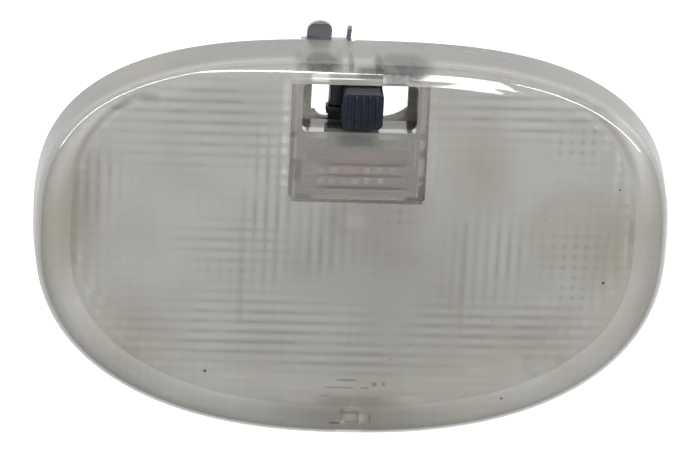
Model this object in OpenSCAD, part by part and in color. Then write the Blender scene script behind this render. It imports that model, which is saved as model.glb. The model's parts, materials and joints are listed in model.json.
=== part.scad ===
// Car dome light: clear lens with a slide switch, festoon bulb and hinged reflector.
// It lies on its back. X is its long side, +Y points to the switch, +Z out of the lens.
// Z = 0 is the plane of the headliner, where the skirt's rear edge seats.

/* [Lens outline] */
// Overall width of the lens
lens_w = 150; // [140:1:160]
// Half height from the centre line to the switch side
lens_up = 47; // [46:0.5:50]
// Half height from the centre line to the plain side
lens_down = 49.5; // [46:0.5:54]
// Squareness of the switch side's outline
square_up = 2.8; // [2.6:0.1:3.2]
// Squareness of the plain side's outline
square_down = 2.3; // [2.2:0.1:2.8]

/* [Lens section] */
// Height of the skirt and its rounded edge above the headliner
skirt_h = 15; // [14:0.5:18]
// Inset of the skirt at the start of its rounded edge
skirt_draft = 0.75; // [0.5:0.05:1]
// Radius of the rounded edge
edge_r = 5; // [4:0.5:5.5]
// Rise of the face from its edge to its middle
crown = 1.2; // [0.5:0.1:2]
// Wall thickness of the moulding
wall = 2.2; // [1.8:0.1:2.4]
// Number of flutes round the inside of the skirt
flutes = 270; // [210:10:300]
// Depth of the flutes
flute_d = 0.35; // [0.2:0.05:0.45]

/* [Pillow optics] */
// Pitch of the square pillows
pillow = 2.6; // [2.5:0.1:3]
// Height of each pillow below its borders
pillow_h = 0.55; // [0.3:0.05:0.7]
// Inset of the pillow field and the inner wall from the outline
field_in = 9; // [8.5:0.25:10]

/* [Switch] */
// Width of the window
window_w = 26.6; // [26:0.2:28]
// Height of the window
window_h = 11.4; // [11:0.2:12]
// Travel of the slider to each side
travel = 5.5; // [4:0.5:5.5]
// Width of the knob
knob_w = 9.4; // [8.8:0.2:9.8]
// Length of the knob across its travel
knob_len = 9.1; // [8.8:0.1:9.4]
// Height of the knob above the skirt's height
knob_up = 4.2; // [3:0.2:6]
// Ribs across the knob
knob_ribs = 5; // [4:1:7]

/* [Bulb] */
// Length of the festoon bulb over its tips
bulb_len = 41; // [39:0.5:43]
// Diameter of the bulb's glass
glass_d = 10.6; // [9:0.2:11]

/* [Back] */
// Depth of the reflector pan below the headliner plane
pan_depth = 12.8; // [12.8:0.2:16]
// Diameter of the hinge pin
pin_d = 2; // [1.6:0.1:2.4]
// Sheet thickness of the contacts
strip_t = 0.4; // [0.3:0.05:0.5]
// Thickness of the retaining spring
spring_t = 0.7; // [0.5:0.05:0.8]

/* [Hidden] */

clear_c = [0.72, 0.73, 0.72, 0.45];
black_c = [0.11, 0.12, 0.14];
brass_c = [0.78, 0.62, 0.35];
steel_c = [0.62, 0.63, 0.65];
bright_c = [0.82, 0.83, 0.84];
beige_c = [0.72, 0.69, 0.64];

half_w = lens_w / 2;
inner_z = skirt_h - wall;
skin_n = 120;
eps = 0.01;

// Ceiling of the moulding: rows of borders and pillow centres
border_z = inner_z - 0.05;
field_x = pillow * ceil((half_w - field_in) / pillow);
field_y = pillow * ceil((lens_down - field_in) / pillow);

// Switch box under the window
box_wall = 1.3;
box_in = window_w / 2 + 0.9;
box_out = box_in + box_wall;
box_top = lens_up - skirt_draft - wall - 1.1;
window_top = box_top - 1.8;
window_low = window_top - window_h;
sill_t = 2.3;
sill_low = window_low - sill_t;
box_low = sill_low - 14.1;
box_rear = -6;
box_back = 1.5;

// Heights inside the switch box, from the back to the front
floor_z = 3;
floor_t = 1.8;
arm_z = floor_z - floor_t;
strip_z = floor_z + strip_t;
plate_z = floor_z + 1.6;
plate_t = 2;
plate_top = plate_z + plate_t;
sill_z = plate_top + 0.4;
boss_top = inner_z - 1.2;
spring_top = boss_top - 1;
knob_z = skirt_h + knob_up;
knob_slope = 0.5;
knob_top = window_top - 0.35;
knob_low = knob_top - knob_len;
knob_right = knob_w / 2 + 0.35;
knob_left = knob_right - knob_w;
neck_left = knob_left - 2.55;
neck_low = knob_low + 3.4;
foot_low = window_low + 1.65;
foot_left = neck_left - 0.6;
foot_top = window_low + 3.5;
plate_w = 13;
strip_y = [box_low + 2.9, box_low + 5.7, box_low + 8.5];
strip_w = 1.6;
detent_y = box_low + 11.2;
plate_low = detent_y - 2.6;
boss_d = 3.6;
ball_d = 2.4;
ball_z = floor_z + ball_d / 2 + 0.05;
ball_hole_d = ball_d + 0.1;

// Ribs on the inside of the panel below the window; the first one guides the slider
rib_y = [box_low + 8.8, box_low + 4.6, box_low + 1.8];
rib_t = 0.75;
rib_d = 1;
rib_half = 12;

// Spring sheet that bridges the strips, riveted under the slider
wiper_t = 0.3;
wiper_half = 6.3;
wiper_low = strip_y[0] - 0.9;
wiper_top = detent_y + 1.9;
wiper_rivet_x = 4.2;
wiper_rivet_y = detent_y + 0.5;
bump_r = 1;
ground_end = travel - 1.5 * bump_r;
door_end = -2 * bump_r;

// Fasteners
screw_d = 1.8;
screw_y = box_low + 12.2;
screw_z = 0.8;
rivet_d = 1.6;
spring_rivet_x = [-10.6, -3.8];
spring_rivet_z = -3;
bracket_rivet_y = 6;
shield_rivet_x = [-20, 20];
shield_half = 24;
shield_wide = 9;

// Side arms of the carrier beside the window
arm_left = -box_in + 3.5;
arm_right = box_in - 2.3;
carrier_top = window_low + 1.6;

// Tails from the switch to the connector
tail_w = 1.2;
ground_x = box_in - 1.8;
ground_z = -4.6;
door_x = box_in - 1.9;
door_z = -2.8;
live_y = box_top - 6.3;
live_low = live_y - 6.2;
live_w = 3;
live_z = -0.8;
blade_y = box_top - 2.9;
blade_x = [box_in - 2.2, box_in - 6, box_in - 9.8];

// Barbs of the retaining spring
barb_x = -12;
barb_w = 5.8;
tip_z = -1.6;
lip_low = box_top - 2.9;

// Bulb and its holders
bulb_y = -6;
bulb_z = -3;
cap_d = 7.2;
cap_in = bulb_len / 2 - 6.5;
cap_out = bulb_len / 2 - 1.3;
tip_x = bulb_len / 2 + 0.8;
holder_x = bulb_len / 2 - 0.8;
tip_r = 1;
holder_t = 0.5;
holder_d = 9.2;
holder_hole_d = 6.65;
rib_x = bulb_len / 2 + 5.5;
rib_len = 27;
rib_mid = bulb_y - 0.5;
stake_y = [bulb_y - 10, bulb_y + 9];

// Inner wall and the reflector that closes it
spigot_t = 1.5;
spigot_rear = -8;
plate_rivet_z = spigot_rear + 2.8;
bead_z = spigot_rear - 1.1;
pan_in = field_in + spigot_t + 0.8;
pan_rim_z = -1.6;
pan_t = 0.8;
pan_slope = 5;
pan_low_z = -pan_depth + 3;
pan_knee_z = -pan_depth + 7;
pan_n = 72;
notch_gap = 1.2;
knuckle_r = pin_d / 2 + 1;
hinge_x = -(half_w - pan_in) - 0.8;
hinge_z = spigot_rear - 0.3 - knuckle_r;
knuckle_y = 8.7;
ear_y = 9;
ear_t = 2;
pin_gap = 0.05;

// Radius of the outline at an angle, inset from its edge
function rim_r(a, inset) =
    let (n = sin(a) >= 0 ? square_up : square_down)
    let (b = (sin(a) >= 0 ? lens_up : lens_down) - inset)
    let (w = half_w - inset)
    pow(pow(abs(cos(a)) / w, n) + pow(abs(sin(a)) / b, n), -1 / n);

function rim_pt(a, inset) = rim_r(a, inset) * [cos(a), sin(a)];

function outline(inset, n) = [for (i = [0 : n - 1]) rim_pt(i * 360 / n, inset)];

// Solid through a stack of [inset, z] rings, with an optional raised middle on top
module loft(rings, n, tip = 0) {
    last = len(rings) - 1;
    skin = [for (ring = rings, i = [0 : n - 1]) concat(rim_pt(i * 360 / n, ring[0]), ring[1])];
    centre = [[0, 0, rings[last][1] + tip]];
    sides = [for (k = [0 : last - 1], i = [0 : n - 1])
        let (j = (i + 1) % n)
        [k * n + i, (k + 1) * n + i, (k + 1) * n + j, k * n + j]];
    cap = [for (i = [0 : n - 1]) [last * n + (i + 1) % n, last * n + i, n * (last + 1)]];
    base = [[for (i = [0 : n - 1]) i]];
    polyhedron(concat(skin, centre), concat(base, sides, cap), convexity = 6);
}

module plate(inset, z0, z1, n = skin_n) {
    translate([0, 0, z0]) linear_extrude(z1 - z0) polygon(outline(inset, n));
}

// Block given by its low and high corners
module block(low, high) {
    translate(low) cube(high - low);
}

// Block with rounded corners in plan
module soft_block(low, high, r) {
    hull() for (x = [low[0] + r, high[0] - r], y = [low[1] + r, high[1] - r])
        translate([x, y, low[2]]) cylinder(r = r, h = high[2] - low[2], $fn = 24);
}

// Block with rounded corners in plan, as true cylinders
module rounded(low, high, r) {
    block([low[0] + r, low[1], low[2]], [high[0] - r, high[1], high[2]]);
    block([low[0], low[1] + r, low[2]], [high[0], high[1] - r, high[2]]);
    for (x = [low[0] + r, high[0] - r], y = [low[1] + r, high[1] - r])
        translate([x, y, low[2]]) cylinder(r = r, h = high[2] - low[2], $fn = 24);
}

// Round rod between two points
module rod(a, b, d, n = 48) {
    v = b - a;
    translate(a) rotate([0, acos(v[2] / norm(v)), atan2(v[1], v[0])])
        cylinder(d = d, h = norm(v), $fn = n);
}

// Section drawn as [y, z], extruded along X
module side_extrude(w) {
    rotate([90, 0, 90]) linear_extrude(w) children();
}

// Bulb's own axis laid along X
module at_bulb() {
    translate([0, bulb_y, bulb_z]) rotate([0, 90, 0]) children();
}

// Outer skin of the lens, with its rounded edge and crowned face
module lens_skin() {
    fillet = [for (a = [0 : 18 : 90])
        [skirt_draft + edge_r * (1 - cos(a)), skirt_h - edge_r + edge_r * sin(a)]];
    inset_top = skirt_draft + edge_r;
    face = [for (f = [0.25, 0.55])
        [inset_top + f * (lens_up - inset_top), skirt_h + crown * (1 - pow(1 - f, 2))]];
    rise = crown * pow(1 - 0.55, 2);
    loft(concat([[0, 0]], fillet, face), skin_n, rise);
}

// Hollow of the skirt, with its fluted wall
module fluted_hollow() {
    n = flutes * 2;
    points = [for (i = [0 : n - 1])
        rim_pt(i * 360 / n, wall + skirt_draft - (i % 2) * flute_d)];
    translate([0, 0, -1]) linear_extrude(inner_z + 1) polygon(points);
}

// Pillows: a height field with one raised centre in each square
module pillow_sheet() {
    nx = round(2 * field_x / pillow);
    ny = round(2 * field_y / pillow);
    row = nx + 1;
    nodes = [for (j = [0 : ny], i = [0 : nx])
        [i * pillow - field_x, j * pillow - field_y, border_z]];
    mids = [for (j = [0 : ny - 1], i = [0 : nx - 1])
        [(i + 0.5) * pillow - field_x, (j + 0.5) * pillow - field_y, border_z - pillow_h]];
    top_z = inner_z + 0.5;
    top = [for (y = [-field_y, -field_y + ny * pillow], x = [-field_x, field_x]) [x, y, top_z]];
    m0 = row * (ny + 1);
    t0 = m0 + nx * ny;
    facets = [for (j = [0 : ny - 1], i = [0 : nx - 1], k = [0 : 3])
        let (c = [j * row + i, j * row + i + 1, (j + 1) * row + i + 1, (j + 1) * row + i])
        [c[k], c[(k + 1) % 4], m0 + j * nx + i]];
    front = concat([t0, t0 + 1], [for (i = [nx : -1 : 0]) i]);
    back = concat([t0 + 3, t0 + 2], [for (i = [0 : nx]) ny * row + i]);
    left = concat([t0 + 2, t0], [for (j = [0 : ny]) j * row]);
    right = concat([t0 + 1, t0 + 3], [for (j = [ny : -1 : 0]) j * row + nx]);
    lid = [t0, t0 + 2, t0 + 3, t0 + 1];
    polyhedron(concat(nodes, mids, top), concat(facets, [front, back, left, right, lid]));
}

// Rib that carries a bulb holder, with two stake bosses
module holder_rib(side) {
    rounded([side * rib_x - 0.8, rib_mid - rib_len / 2, strip_z],
        [side * rib_x + 0.8, rib_mid + rib_len / 2, inner_z + 0.5], 0.6);
    for (y = stake_y)
        translate([side * rib_x, y, strip_z])
            cylinder(d1 = 4.4, d2 = 5.6, h = inner_z + 0.5 - strip_z, $fn = 24);
}

// Space inside the switch box, open at the back
module switch_space() {
    difference() {
        union() {
            block([-box_in, box_low, box_rear - 1], [box_in, sill_low, inner_z]);
            block([-box_in, sill_low - eps, box_rear - 1], [box_in, window_low + eps, sill_z]);
            block([-box_in, window_low, box_rear - 1], [box_in, box_top, inner_z]);
        }
        for (rib = [[rib_y[0], plate_top + 0.2], [rib_y[1], inner_z - rib_d], [rib_y[2], inner_z - rib_d]])
            block([-rib_half, rib[0] - rib_t / 2, rib[1]], [rib_half, rib[0] + rib_t / 2, inner_z + 1]);
    }
}

// Cuts in the walls of the switch box for contacts, screws and rivets
module box_cuts() {
    block([-box_out - 1, strip_y[1] - 1.8, box_rear - 1], [-box_in + 1, strip_y[1] + 1.8, strip_z + 0.3]);
    block([box_in - 1, live_y - 0.4, box_rear - 1], [box_out + 1, live_y + 1, live_z + 1.6]);
    block([box_out, live_low - 0.4, spigot_rear - 1], [box_out + 1.4, live_y + 1, strip_z + 0.3]);
    for (side = [-1, 1])
        rod([side * (box_in - 1), screw_y, screw_z], [side * (box_out + 1), screw_y, screw_z], 2.2, 24);
    for (x = spring_rivet_x)
        rod([x, box_top - 1, spring_rivet_z], [x, box_top + 3, spring_rivet_z], 1.8, 24);
}

module lens() {
    color(clear_c) difference() {
        union() {
            difference() {
                lens_skin();
                fluted_hollow();
            }
            intersection() {
                pillow_sheet();
                plate(field_in, border_z - pillow_h - 1, skirt_h);
            }
            difference() {
                plate(field_in, spigot_rear, inner_z + 0.5);
                plate(field_in + spigot_t, spigot_rear - 1, inner_z + 1);
                block([-box_out, 0, spigot_rear - 1], [box_out, lens_up, inner_z + 1]);
            }
            block([-box_out, box_low - box_wall, box_rear], [box_out, box_top + box_back, inner_z + 0.5]);
            for (side = [-1, 1]) holder_rib(side);
        }
        switch_space();
        box_cuts();
        soft_block([-window_w / 2, window_low, sill_z], [window_w / 2, window_top, skirt_h + 5], 1.2);
        for (side = [-1, 1])
            soft_block([side * box_out - 0.45, box_low, skirt_h - 0.1],
                [side * box_out + 0.45, window_top, skirt_h + 5], 0.44);
        soft_block([-box_out, box_low - 0.9, skirt_h], [box_out, box_low, skirt_h + 5], 0.44);
        soft_block([-1.3, -lens_down + 5.2, skirt_h - 0.8], [3.2, -lens_down + 8.2, skirt_h + 5], 0.5);
        soft_block([-1.5, -lens_down - 2, -1], [4.5, -lens_down + 4, 2.2], 0.5);
        block([-box_in + 0.6, box_top + box_back - 0.02, -1], [-1, lens_up + 1, 0.8]);
        for (side = [-1, 1], y = stake_y)
            translate([side * rib_x, y, strip_z - 1]) cylinder(d = rivet_d + 0.1, h = 5, $fn = 20);
        for (y = [-1, 1] * bracket_rivet_y)
            rod([-half_w, y, plate_rivet_z], [-half_w + 14, y, plate_rivet_z], rivet_d + 0.1, 20);
        rod([half_w - 14, 0, plate_rivet_z], [half_w, 0, plate_rivet_z], rivet_d + 0.1, 20);
    }
}

// Plate in the switch box that carries the strips, with an arm on each side of the window
module switch_carrier() {
    color(beige_c) difference() {
        union() {
            difference() {
                block([-box_in + 0.1, box_low + 0.1, arm_z], [box_in - 0.1, carrier_top, floor_z]);
                translate([5.5, window_low + 8.2, arm_z - 1]) cylinder(r = 9.2, h = 6);
                translate([-7.4, window_low + 1.5, arm_z - 1]) cylinder(r = 2.6, h = 6);
                block([arm_left, window_low + 0.5, arm_z - 1], [-5.5, carrier_top + 1, floor_z + 1]);
            }
            block([-box_in + 0.1, carrier_top - 1, arm_z], [arm_left, box_top - 0.3, floor_z]);
            block([arm_right, carrier_top - 1, arm_z], [box_in - 0.1, box_top - 0.3, floor_z]);
            block([-box_in + 0.1, box_low + 0.1, floor_z], [box_in - 0.1, box_low + 1.3, floor_z + 2]);
            for (side = [-1, 1])
                block([side * (box_in - 1.05) - 0.95, screw_y - 3, -1.4],
                    [side * (box_in - 1.05) + 0.95, screw_y + 3, floor_z]);
        }
        for (x = [-travel, 0, travel]) translate([x, detent_y, floor_z + 0.9]) sphere(d = ball_d + 0.1);
        block([ground_x - 0.2, strip_y[0] - 1, 0], [ground_x + strip_t + 0.2, strip_y[0] + 1, 4]);
        block([door_x - 0.2, strip_y[2] - 1, -2], [door_x + strip_t + 0.2, strip_y[2] + 1, 4]);
        for (side = [-1, 1])
            rod([side * (box_in - 3), screw_y, screw_z], [side * (box_in + 1), screw_y, screw_z], screw_d);
    }
}

module carrier_screws() {
    color(steel_c) for (side = [-1, 1]) difference() {
        union() {
            rod([side * (box_in - 1.9), screw_y, screw_z], [side * box_out, screw_y, screw_z], screw_d);
            rod([side * box_out, screw_y, screw_z], [side * (box_out + 1.1), screw_y, screw_z], 3.3);
        }
        block([side * (box_out + 1) - 0.4, screw_y - 2, screw_z - 0.25],
            [side * (box_out + 1) + 0.4, screw_y + 2, screw_z + 0.25]);
    }
}

// Flat sheet on a holder rib, with the folded tongue that holds one tip of the bulb
module bulb_holder(side, top_y) {
    x = side * rib_x;
    tongue_x = side * holder_x;
    half_t = holder_t / 2;
    low_y = rib_mid - rib_len / 2 + 0.5;
    difference() {
        union() {
            block([x - 1.6, low_y, floor_z], [x + 1.6, top_y, strip_z]);
            block([min(x, tongue_x), bulb_y - 2.5, floor_z], [max(x, tongue_x), bulb_y + 2.5, strip_z]);
            block([tongue_x - half_t, bulb_y - 3, bulb_z - 4.2], [tongue_x + half_t, bulb_y + 3, strip_z]);
            rod([tongue_x - half_t, bulb_y, bulb_z], [tongue_x + half_t, bulb_y, bulb_z], holder_d);
        }
        rod([tongue_x - 1, bulb_y, bulb_z], [tongue_x + 1, bulb_y, bulb_z], holder_hole_d);
        for (y = stake_y) translate([x, y, 2]) cylinder(d = rivet_d + 0.1, h = 3);
    }
}

// Middle strip of the switch, in one piece with the left bulb holder
module contact_common() {
    y = strip_y[1];
    color(brass_c) {
        block([-box_out - 0.5, y - strip_w / 2, floor_z], [door_x - 0.6, y + strip_w / 2, strip_z]);
        block([-rib_x, y - 1.6, floor_z], [-box_out - 0.5, y + 1.6, strip_z]);
        bulb_holder(-1, y + 1.6);
    }
}

// Strip on the carrier from one end to the tail that turns back towards the connector
module tailed_strip(end_x, x, y, low_z) {
    block([end_x, y - strip_w / 2, floor_z], [x + strip_t, y + strip_w / 2, strip_z]);
    block([x, y - strip_w / 2, low_z], [x + strip_t, y + strip_w / 2, strip_z]);
}

module contact_ground() {
    color(brass_c) {
        low_y = strip_y[0] - strip_w / 2;
        tailed_strip(ground_end, ground_x, strip_y[0], ground_z);
        block([ground_x, low_y, ground_z], [ground_x + strip_t, blade_y, ground_z + tail_w]);
    }
}

module contact_door() {
    color(brass_c) {
        tailed_strip(door_end, door_x, strip_y[2], door_z);
        block([door_x, strip_y[2] - strip_w / 2, door_z], [door_x + strip_t, live_y + 1, door_z + tail_w]);
        block([blade_x[1], live_y + 1 - strip_t, door_z], [door_x + strip_t, live_y + 1, door_z + tail_w]);
        block([blade_x[1], live_y + 1 - strip_t, door_z], [blade_x[1] + strip_t, blade_y, door_z + tail_w]);
    }
}

// Right bulb holder, in one piece with its strip to the connector
module contact_live() {
    color(brass_c) {
        bulb_holder(1, live_low + live_w);
        block([box_out + 0.5, live_low, floor_z], [rib_x + 1.6, live_low + live_w, strip_z]);
        block([box_out + 0.5, live_low, live_z], [box_out + 0.5 + strip_t, live_y + strip_t, strip_z]);
        block([blade_x[2], live_y, live_z], [box_out + 0.5 + strip_t, live_y + strip_t, live_z + tail_w]);
        block([blade_x[2], live_y, live_z], [blade_x[2] + strip_t, blade_y, live_z + tail_w]);
    }
}

module holder_rivets() {
    color(brass_c) for (side = [-1, 1], y = stake_y) translate([side * rib_x, y, 0]) {
        translate([0, 0, floor_z]) cylinder(d = rivet_d, h = 3.4);
        translate([0, 0, floor_z - 0.8]) cylinder(d1 = 2, d2 = 3, h = 0.8);
    }
}

// Socket for the car's plug, open at the back
module connector_housing() {
    low = [box_in - 11.8, blade_y - 2.2, box_rear + 0.1];
    high = [box_in - 0.1, box_top - 0.1, 0.6];
    tails = [[ground_x, ground_z], [blade_x[1], door_z], [blade_x[2], live_z]];
    color(black_c) difference() {
        block(low, high);
        block([low[0] + 1, low[1] + 1, box_rear - 1], [high[0] - 1, high[1] - 1, high[2] - 1.5]);
        for (tail = tails)
            block([tail[0] - 0.2, blade_y - 4, tail[1] - 0.3],
                [tail[0] + strip_t + 0.2, blade_y, tail[1] + tail_w + 0.3]);
    }
}

module connector_terminals() {
    color(bright_c) for (x = blade_x)
        block([x - 0.7, blade_y, box_rear + 0.6], [x + 0.9, blade_y + 0.5, -0.9]);
}

// Section of a barb: out from the clip's bend and up to a tip behind the headliner
module barb(reach) {
    y0 = box_top + box_back + spring_t;
    polygon([[y0 - spring_t, box_rear - spring_t], [y0, box_rear - spring_t],
        [y0 + reach, tip_z - spring_t], [y0 + reach, tip_z], [y0 + reach - spring_t, tip_z],
        [y0 - spring_t / 2, box_rear + spring_t]]);
}

module retaining_spring() {
    x0 = -box_in + 1;
    x1 = -1.4;
    y0 = box_top - spring_t;
    y1 = box_top + box_back;
    z0 = box_rear - spring_t;
    wide_reach = lens_up + 3.8 - y1 - spring_t;
    round_y = y1 + wide_reach - barb_w / 2 + spring_t;
    color(steel_c) difference() {
        union() {
            block([x0, y0, z0], [x1, box_top, 0.6]);
            block([x0, lip_low, 0.6 - spring_t], [barb_x + barb_w + 0.3, box_top, 0.6]);
            block([x0, y1, z0], [x1, y1 + spring_t, -0.4]);
            block([x0, y0, z0], [x1, y1 + spring_t, box_rear]);
            intersection() {
                translate([barb_x, 0, 0]) side_extrude(barb_w) barb(wide_reach);
                union() {
                    block([barb_x, y1 - 1, z0 - 1], [barb_x + barb_w, round_y, 1]);
                    translate([barb_x + barb_w / 2, round_y, z0 - 1]) cylinder(d = barb_w, h = 12);
                }
            }
            translate([x1 - 1.3, 0, 0]) side_extrude(1) barb(wide_reach - 1.1);
        }
        for (x = spring_rivet_x)
            rod([x, y0 - 1, spring_rivet_z], [x, y1 + 2, spring_rivet_z], rivet_d);
    }
}

module spring_rivets() {
    low = box_top - spring_t;
    high = box_top + box_back + spring_t;
    color(steel_c) for (x = spring_rivet_x) {
        rod([x, low, spring_rivet_z], [x, high, spring_rivet_z], rivet_d);
        rod([x, low - 0.6, spring_rivet_z], [x, low, spring_rivet_z], 2.8);
        rod([x, high, spring_rivet_z], [x, high + 0.6, spring_rivet_z], 2.8);
    }
}

// Bent bracket on the left end of the inner wall, with two ears for the hinge pin
module hinge_bracket() {
    x0 = -(half_w - field_in) - 1.2;
    color(steel_c) difference() {
        union() {
            block([x0, -ear_y - ear_t, spigot_rear - 1], [x0 + 1, ear_y + ear_t, spigot_rear + 5]);
            for (side = [-1, 1]) {
                y = side * (ear_y + ear_t / 2);
                block([x0, y - ear_t / 2, hinge_z], [hinge_x, y + ear_t / 2, spigot_rear - 0.3]);
                rod([hinge_x, y - ear_t / 2, hinge_z], [hinge_x, y + ear_t / 2, hinge_z], 2 * knuckle_r);
            }
        }
        rod([hinge_x, -ear_y - 3, hinge_z], [hinge_x, ear_y + 3, hinge_z], pin_d + 2 * pin_gap);
        for (y = [-1, 1] * bracket_rivet_y)
            rod([x0 - 1, y, plate_rivet_z], [x0 + 2, y, plate_rivet_z], rivet_d);
    }
}

module bracket_rivets() {
    x0 = half_w - field_in;
    color(steel_c) {
        for (y = [-1, 1] * bracket_rivet_y) {
            rod([-x0 - 1.2, y, plate_rivet_z], [-x0 + spigot_t + 0.6, y, plate_rivet_z], rivet_d);
            rod([-x0 - 1.7, y, plate_rivet_z], [-x0 - 1.2, y, plate_rivet_z], 2.8);
        }
        rod([x0 - spigot_t - 0.2, 0, plate_rivet_z], [x0 + 0.7, 0, plate_rivet_z], rivet_d);
        rod([x0 + 0.7, 0, plate_rivet_z], [x0 + 1.2, 0, plate_rivet_z], 2.8);
    }
}

module hinge_pin() {
    end_y = ear_y + ear_t + 0.8;
    color(steel_c) rod([hinge_x, -end_y, hinge_z], [hinge_x, end_y, hinge_z], pin_d);
}

// Spring strip at the right end whose bead presses on the reflector's lip
module reflector_latch() {
    x0 = half_w - field_in + 0.1;
    bead_x = half_w - pan_in - 0.2;
    color(steel_c) difference() {
        union() {
            block([x0, -3, bead_z - 0.3], [x0 + 0.6, 3, spigot_rear + 5]);
            block([bead_x, -3, bead_z - 0.3], [x0 + 0.6, 3, bead_z + 0.3]);
            rod([bead_x, -3, bead_z], [bead_x, 3, bead_z], 1);
        }
        rod([x0 - 1, 0, plate_rivet_z], [x0 + 2, 0, plate_rivet_z], rivet_d);
    }
}

module bulb_glass() {
    color([0.9, 0.93, 0.95, 0.4]) at_bulb() rotate_extrude() polygon([
        [2.35, -cap_in - 1.6], [2.95, -cap_in - 1.6], [2.95, -cap_in + 1], [glass_d / 2, -cap_in + 3.5],
        [glass_d / 2, cap_in - 3.5], [2.95, cap_in - 1], [2.95, cap_in + 1.6], [2.35, cap_in + 1.6],
        [2.35, cap_in - 0.6], [glass_d / 2 - 0.6, cap_in - 3.2], [glass_d / 2 - 0.6, -cap_in + 3.2],
        [2.35, -cap_in + 0.6]]);
}

module bulb_cap() {
    color(bright_c) difference() {
        union() {
            translate([0, 0, cap_in]) cylinder(d = cap_d, h = cap_out - cap_in);
            translate([0, 0, cap_out]) cylinder(r1 = cap_d / 2, r2 = tip_r, h = tip_x - cap_out);
        }
        translate([0, 0, cap_in - 1]) cylinder(r = 2.97, h = 2.7);
    }
}

module bulb_cap_left() {
    at_bulb() mirror([0, 0, 1]) bulb_cap();
}

module bulb_cap_right() {
    at_bulb() bulb_cap();
}

module bulb_filament() {
    coil_half = cap_in - 5;
    color(steel_c) at_bulb() {
        translate([0, 0, -cap_in - 1.7]) cylinder(r = 0.25, h = 2 * cap_in + 3.4);
        translate([0, 0, -coil_half]) cylinder(r = 0.55, h = 2 * coil_half);
    }
}

// Clear space round the switch box in the reflector
module switch_notch(grow) {
    x = box_out + notch_gap + grow;
    block([-x, box_low - box_wall - notch_gap - grow, -pan_depth - 1], [x, lens_up, 2]);
}

// Form of the pan: a sloping dish below a straight rim
module pan_form(grow, low, top) {
    loft([[pan_in + pan_slope + grow, low], [pan_in + 0.4 * pan_slope + grow, pan_low_z],
        [pan_in + grow, pan_knee_z]], pan_n);
    plate(pan_in + grow, pan_knee_z, top, pan_n);
}

// Bright pan behind the bulb, notched for the switch box and hinged at its left end
module reflector() {
    wall_x = half_w - pan_in - 0.6 * pan_slope;
    color(bright_c) difference() {
        union() {
            difference() {
                pan_form(0, -pan_depth, pan_rim_z);
                switch_notch(0);
                difference() {
                    pan_form(pan_t, -pan_depth + pan_t, pan_rim_z + 1);
                    switch_notch(pan_t);
                }
            }
            rod([hinge_x, -knuckle_y, hinge_z], [hinge_x, knuckle_y, hinge_z], 2 * knuckle_r);
            block([hinge_x, -knuckle_y, hinge_z - 0.9], [-wall_x + 0.5, knuckle_y, hinge_z + 0.9]);
            block([wall_x - 0.5, -5, bead_z - 0.5], [half_w - pan_in - 0.9, 5, bead_z + 0.5]);
        }
        rod([hinge_x, -knuckle_y - 1, hinge_z], [hinge_x, knuckle_y + 1, hinge_z], pin_d + 2 * pin_gap);
        for (x = shield_rivet_x)
            translate([x, bulb_y, -pan_depth - 1]) cylinder(d = rivet_d, h = 3);
    }
}

module heat_shield() {
    color([0.86, 0.87, 0.88]) difference() {
        rounded([-shield_half, bulb_y - shield_wide, -pan_depth + pan_t],
            [shield_half, bulb_y + shield_wide, -pan_depth + pan_t + 0.4], 2);
        for (x = shield_rivet_x)
            translate([x, bulb_y, -pan_depth]) cylinder(d = rivet_d, h = 3);
    }
}

module shield_rivets() {
    color(bright_c) for (x = shield_rivet_x) translate([x, bulb_y, -pan_depth]) {
        cylinder(d = rivet_d, h = pan_t + 0.4);
        translate([0, 0, pan_t + 0.4]) cylinder(d1 = 3, d2 = 2, h = 0.6);
    }
}

// Knob, neck and slide plate in one moulding
module switch_slider() {
    ridge = knob_w / (knob_ribs + 1);
    neck_top = inner_z - 0.4;
    color(black_c) difference() {
        union() {
            block([-plate_w / 2, plate_low, plate_z], [plate_w / 2, detent_y + 2.4, plate_top]);
            block([neck_left, detent_y, plate_z], [knob_right, box_top - 0.3, plate_top]);
            block([foot_left, foot_low, plate_z], [knob_right, foot_top, plate_top + 1.4]);
            block([neck_left, neck_low, plate_z], [knob_right, box_top - 0.3, neck_top]);
            intersection() {
                translate([knob_left, 0, 0]) side_extrude(knob_w) polygon([
                    [knob_low, inner_z - 3], [knob_top, inner_z - 3], [knob_top, knob_z - 0.4],
                    [knob_top - 0.4, knob_z], [knob_top - 1.2, knob_z],
                    [knob_low + 0.8, knob_z - knob_slope], [knob_low, knob_z - knob_slope - 0.9]]);
                rounded([knob_left, knob_low, 0], [knob_right, knob_top + 3, knob_z + 1], 1.4);
            }
            for (i = [1 : knob_ribs]) {
                x = knob_left + i * ridge;
                rod([x, knob_low + 1, knob_z - knob_slope], [x, knob_top - 1.2, knob_z - 0.15], 0.9);
            }
            translate([0, detent_y, plate_z]) cylinder(d = boss_d, h = boss_top - plate_z);
        }
        translate([0, detent_y, plate_z - 1]) cylinder(d = ball_hole_d, h = spring_top - plate_z + 1);
        for (side = [-1, 1])
            translate([side * wiper_rivet_x, wiper_rivet_y, plate_z - 1]) cylinder(d = 1, h = plate_t + 2);
    }
}

module wiper_contact() {
    low_z = plate_z - wiper_t;
    color(brass_c) difference() {
        union() {
            block([-wiper_half, wiper_low, low_z], [wiper_half, wiper_top, plate_z]);
            for (y = strip_y) intersection() {
                translate([0, y, strip_z + bump_r + 0.05]) sphere(r = bump_r);
                block([-2, y - 0.7, floor_z], [2, y + 0.7, plate_z]);
            }
        }
        translate([0, detent_y, 0]) cylinder(d = ball_d + 1, h = knob_z);
        for (side = [-1, 1])
            translate([side * wiper_rivet_x, wiper_rivet_y, 0]) cylinder(d = 1, h = knob_z);
    }
}

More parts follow.
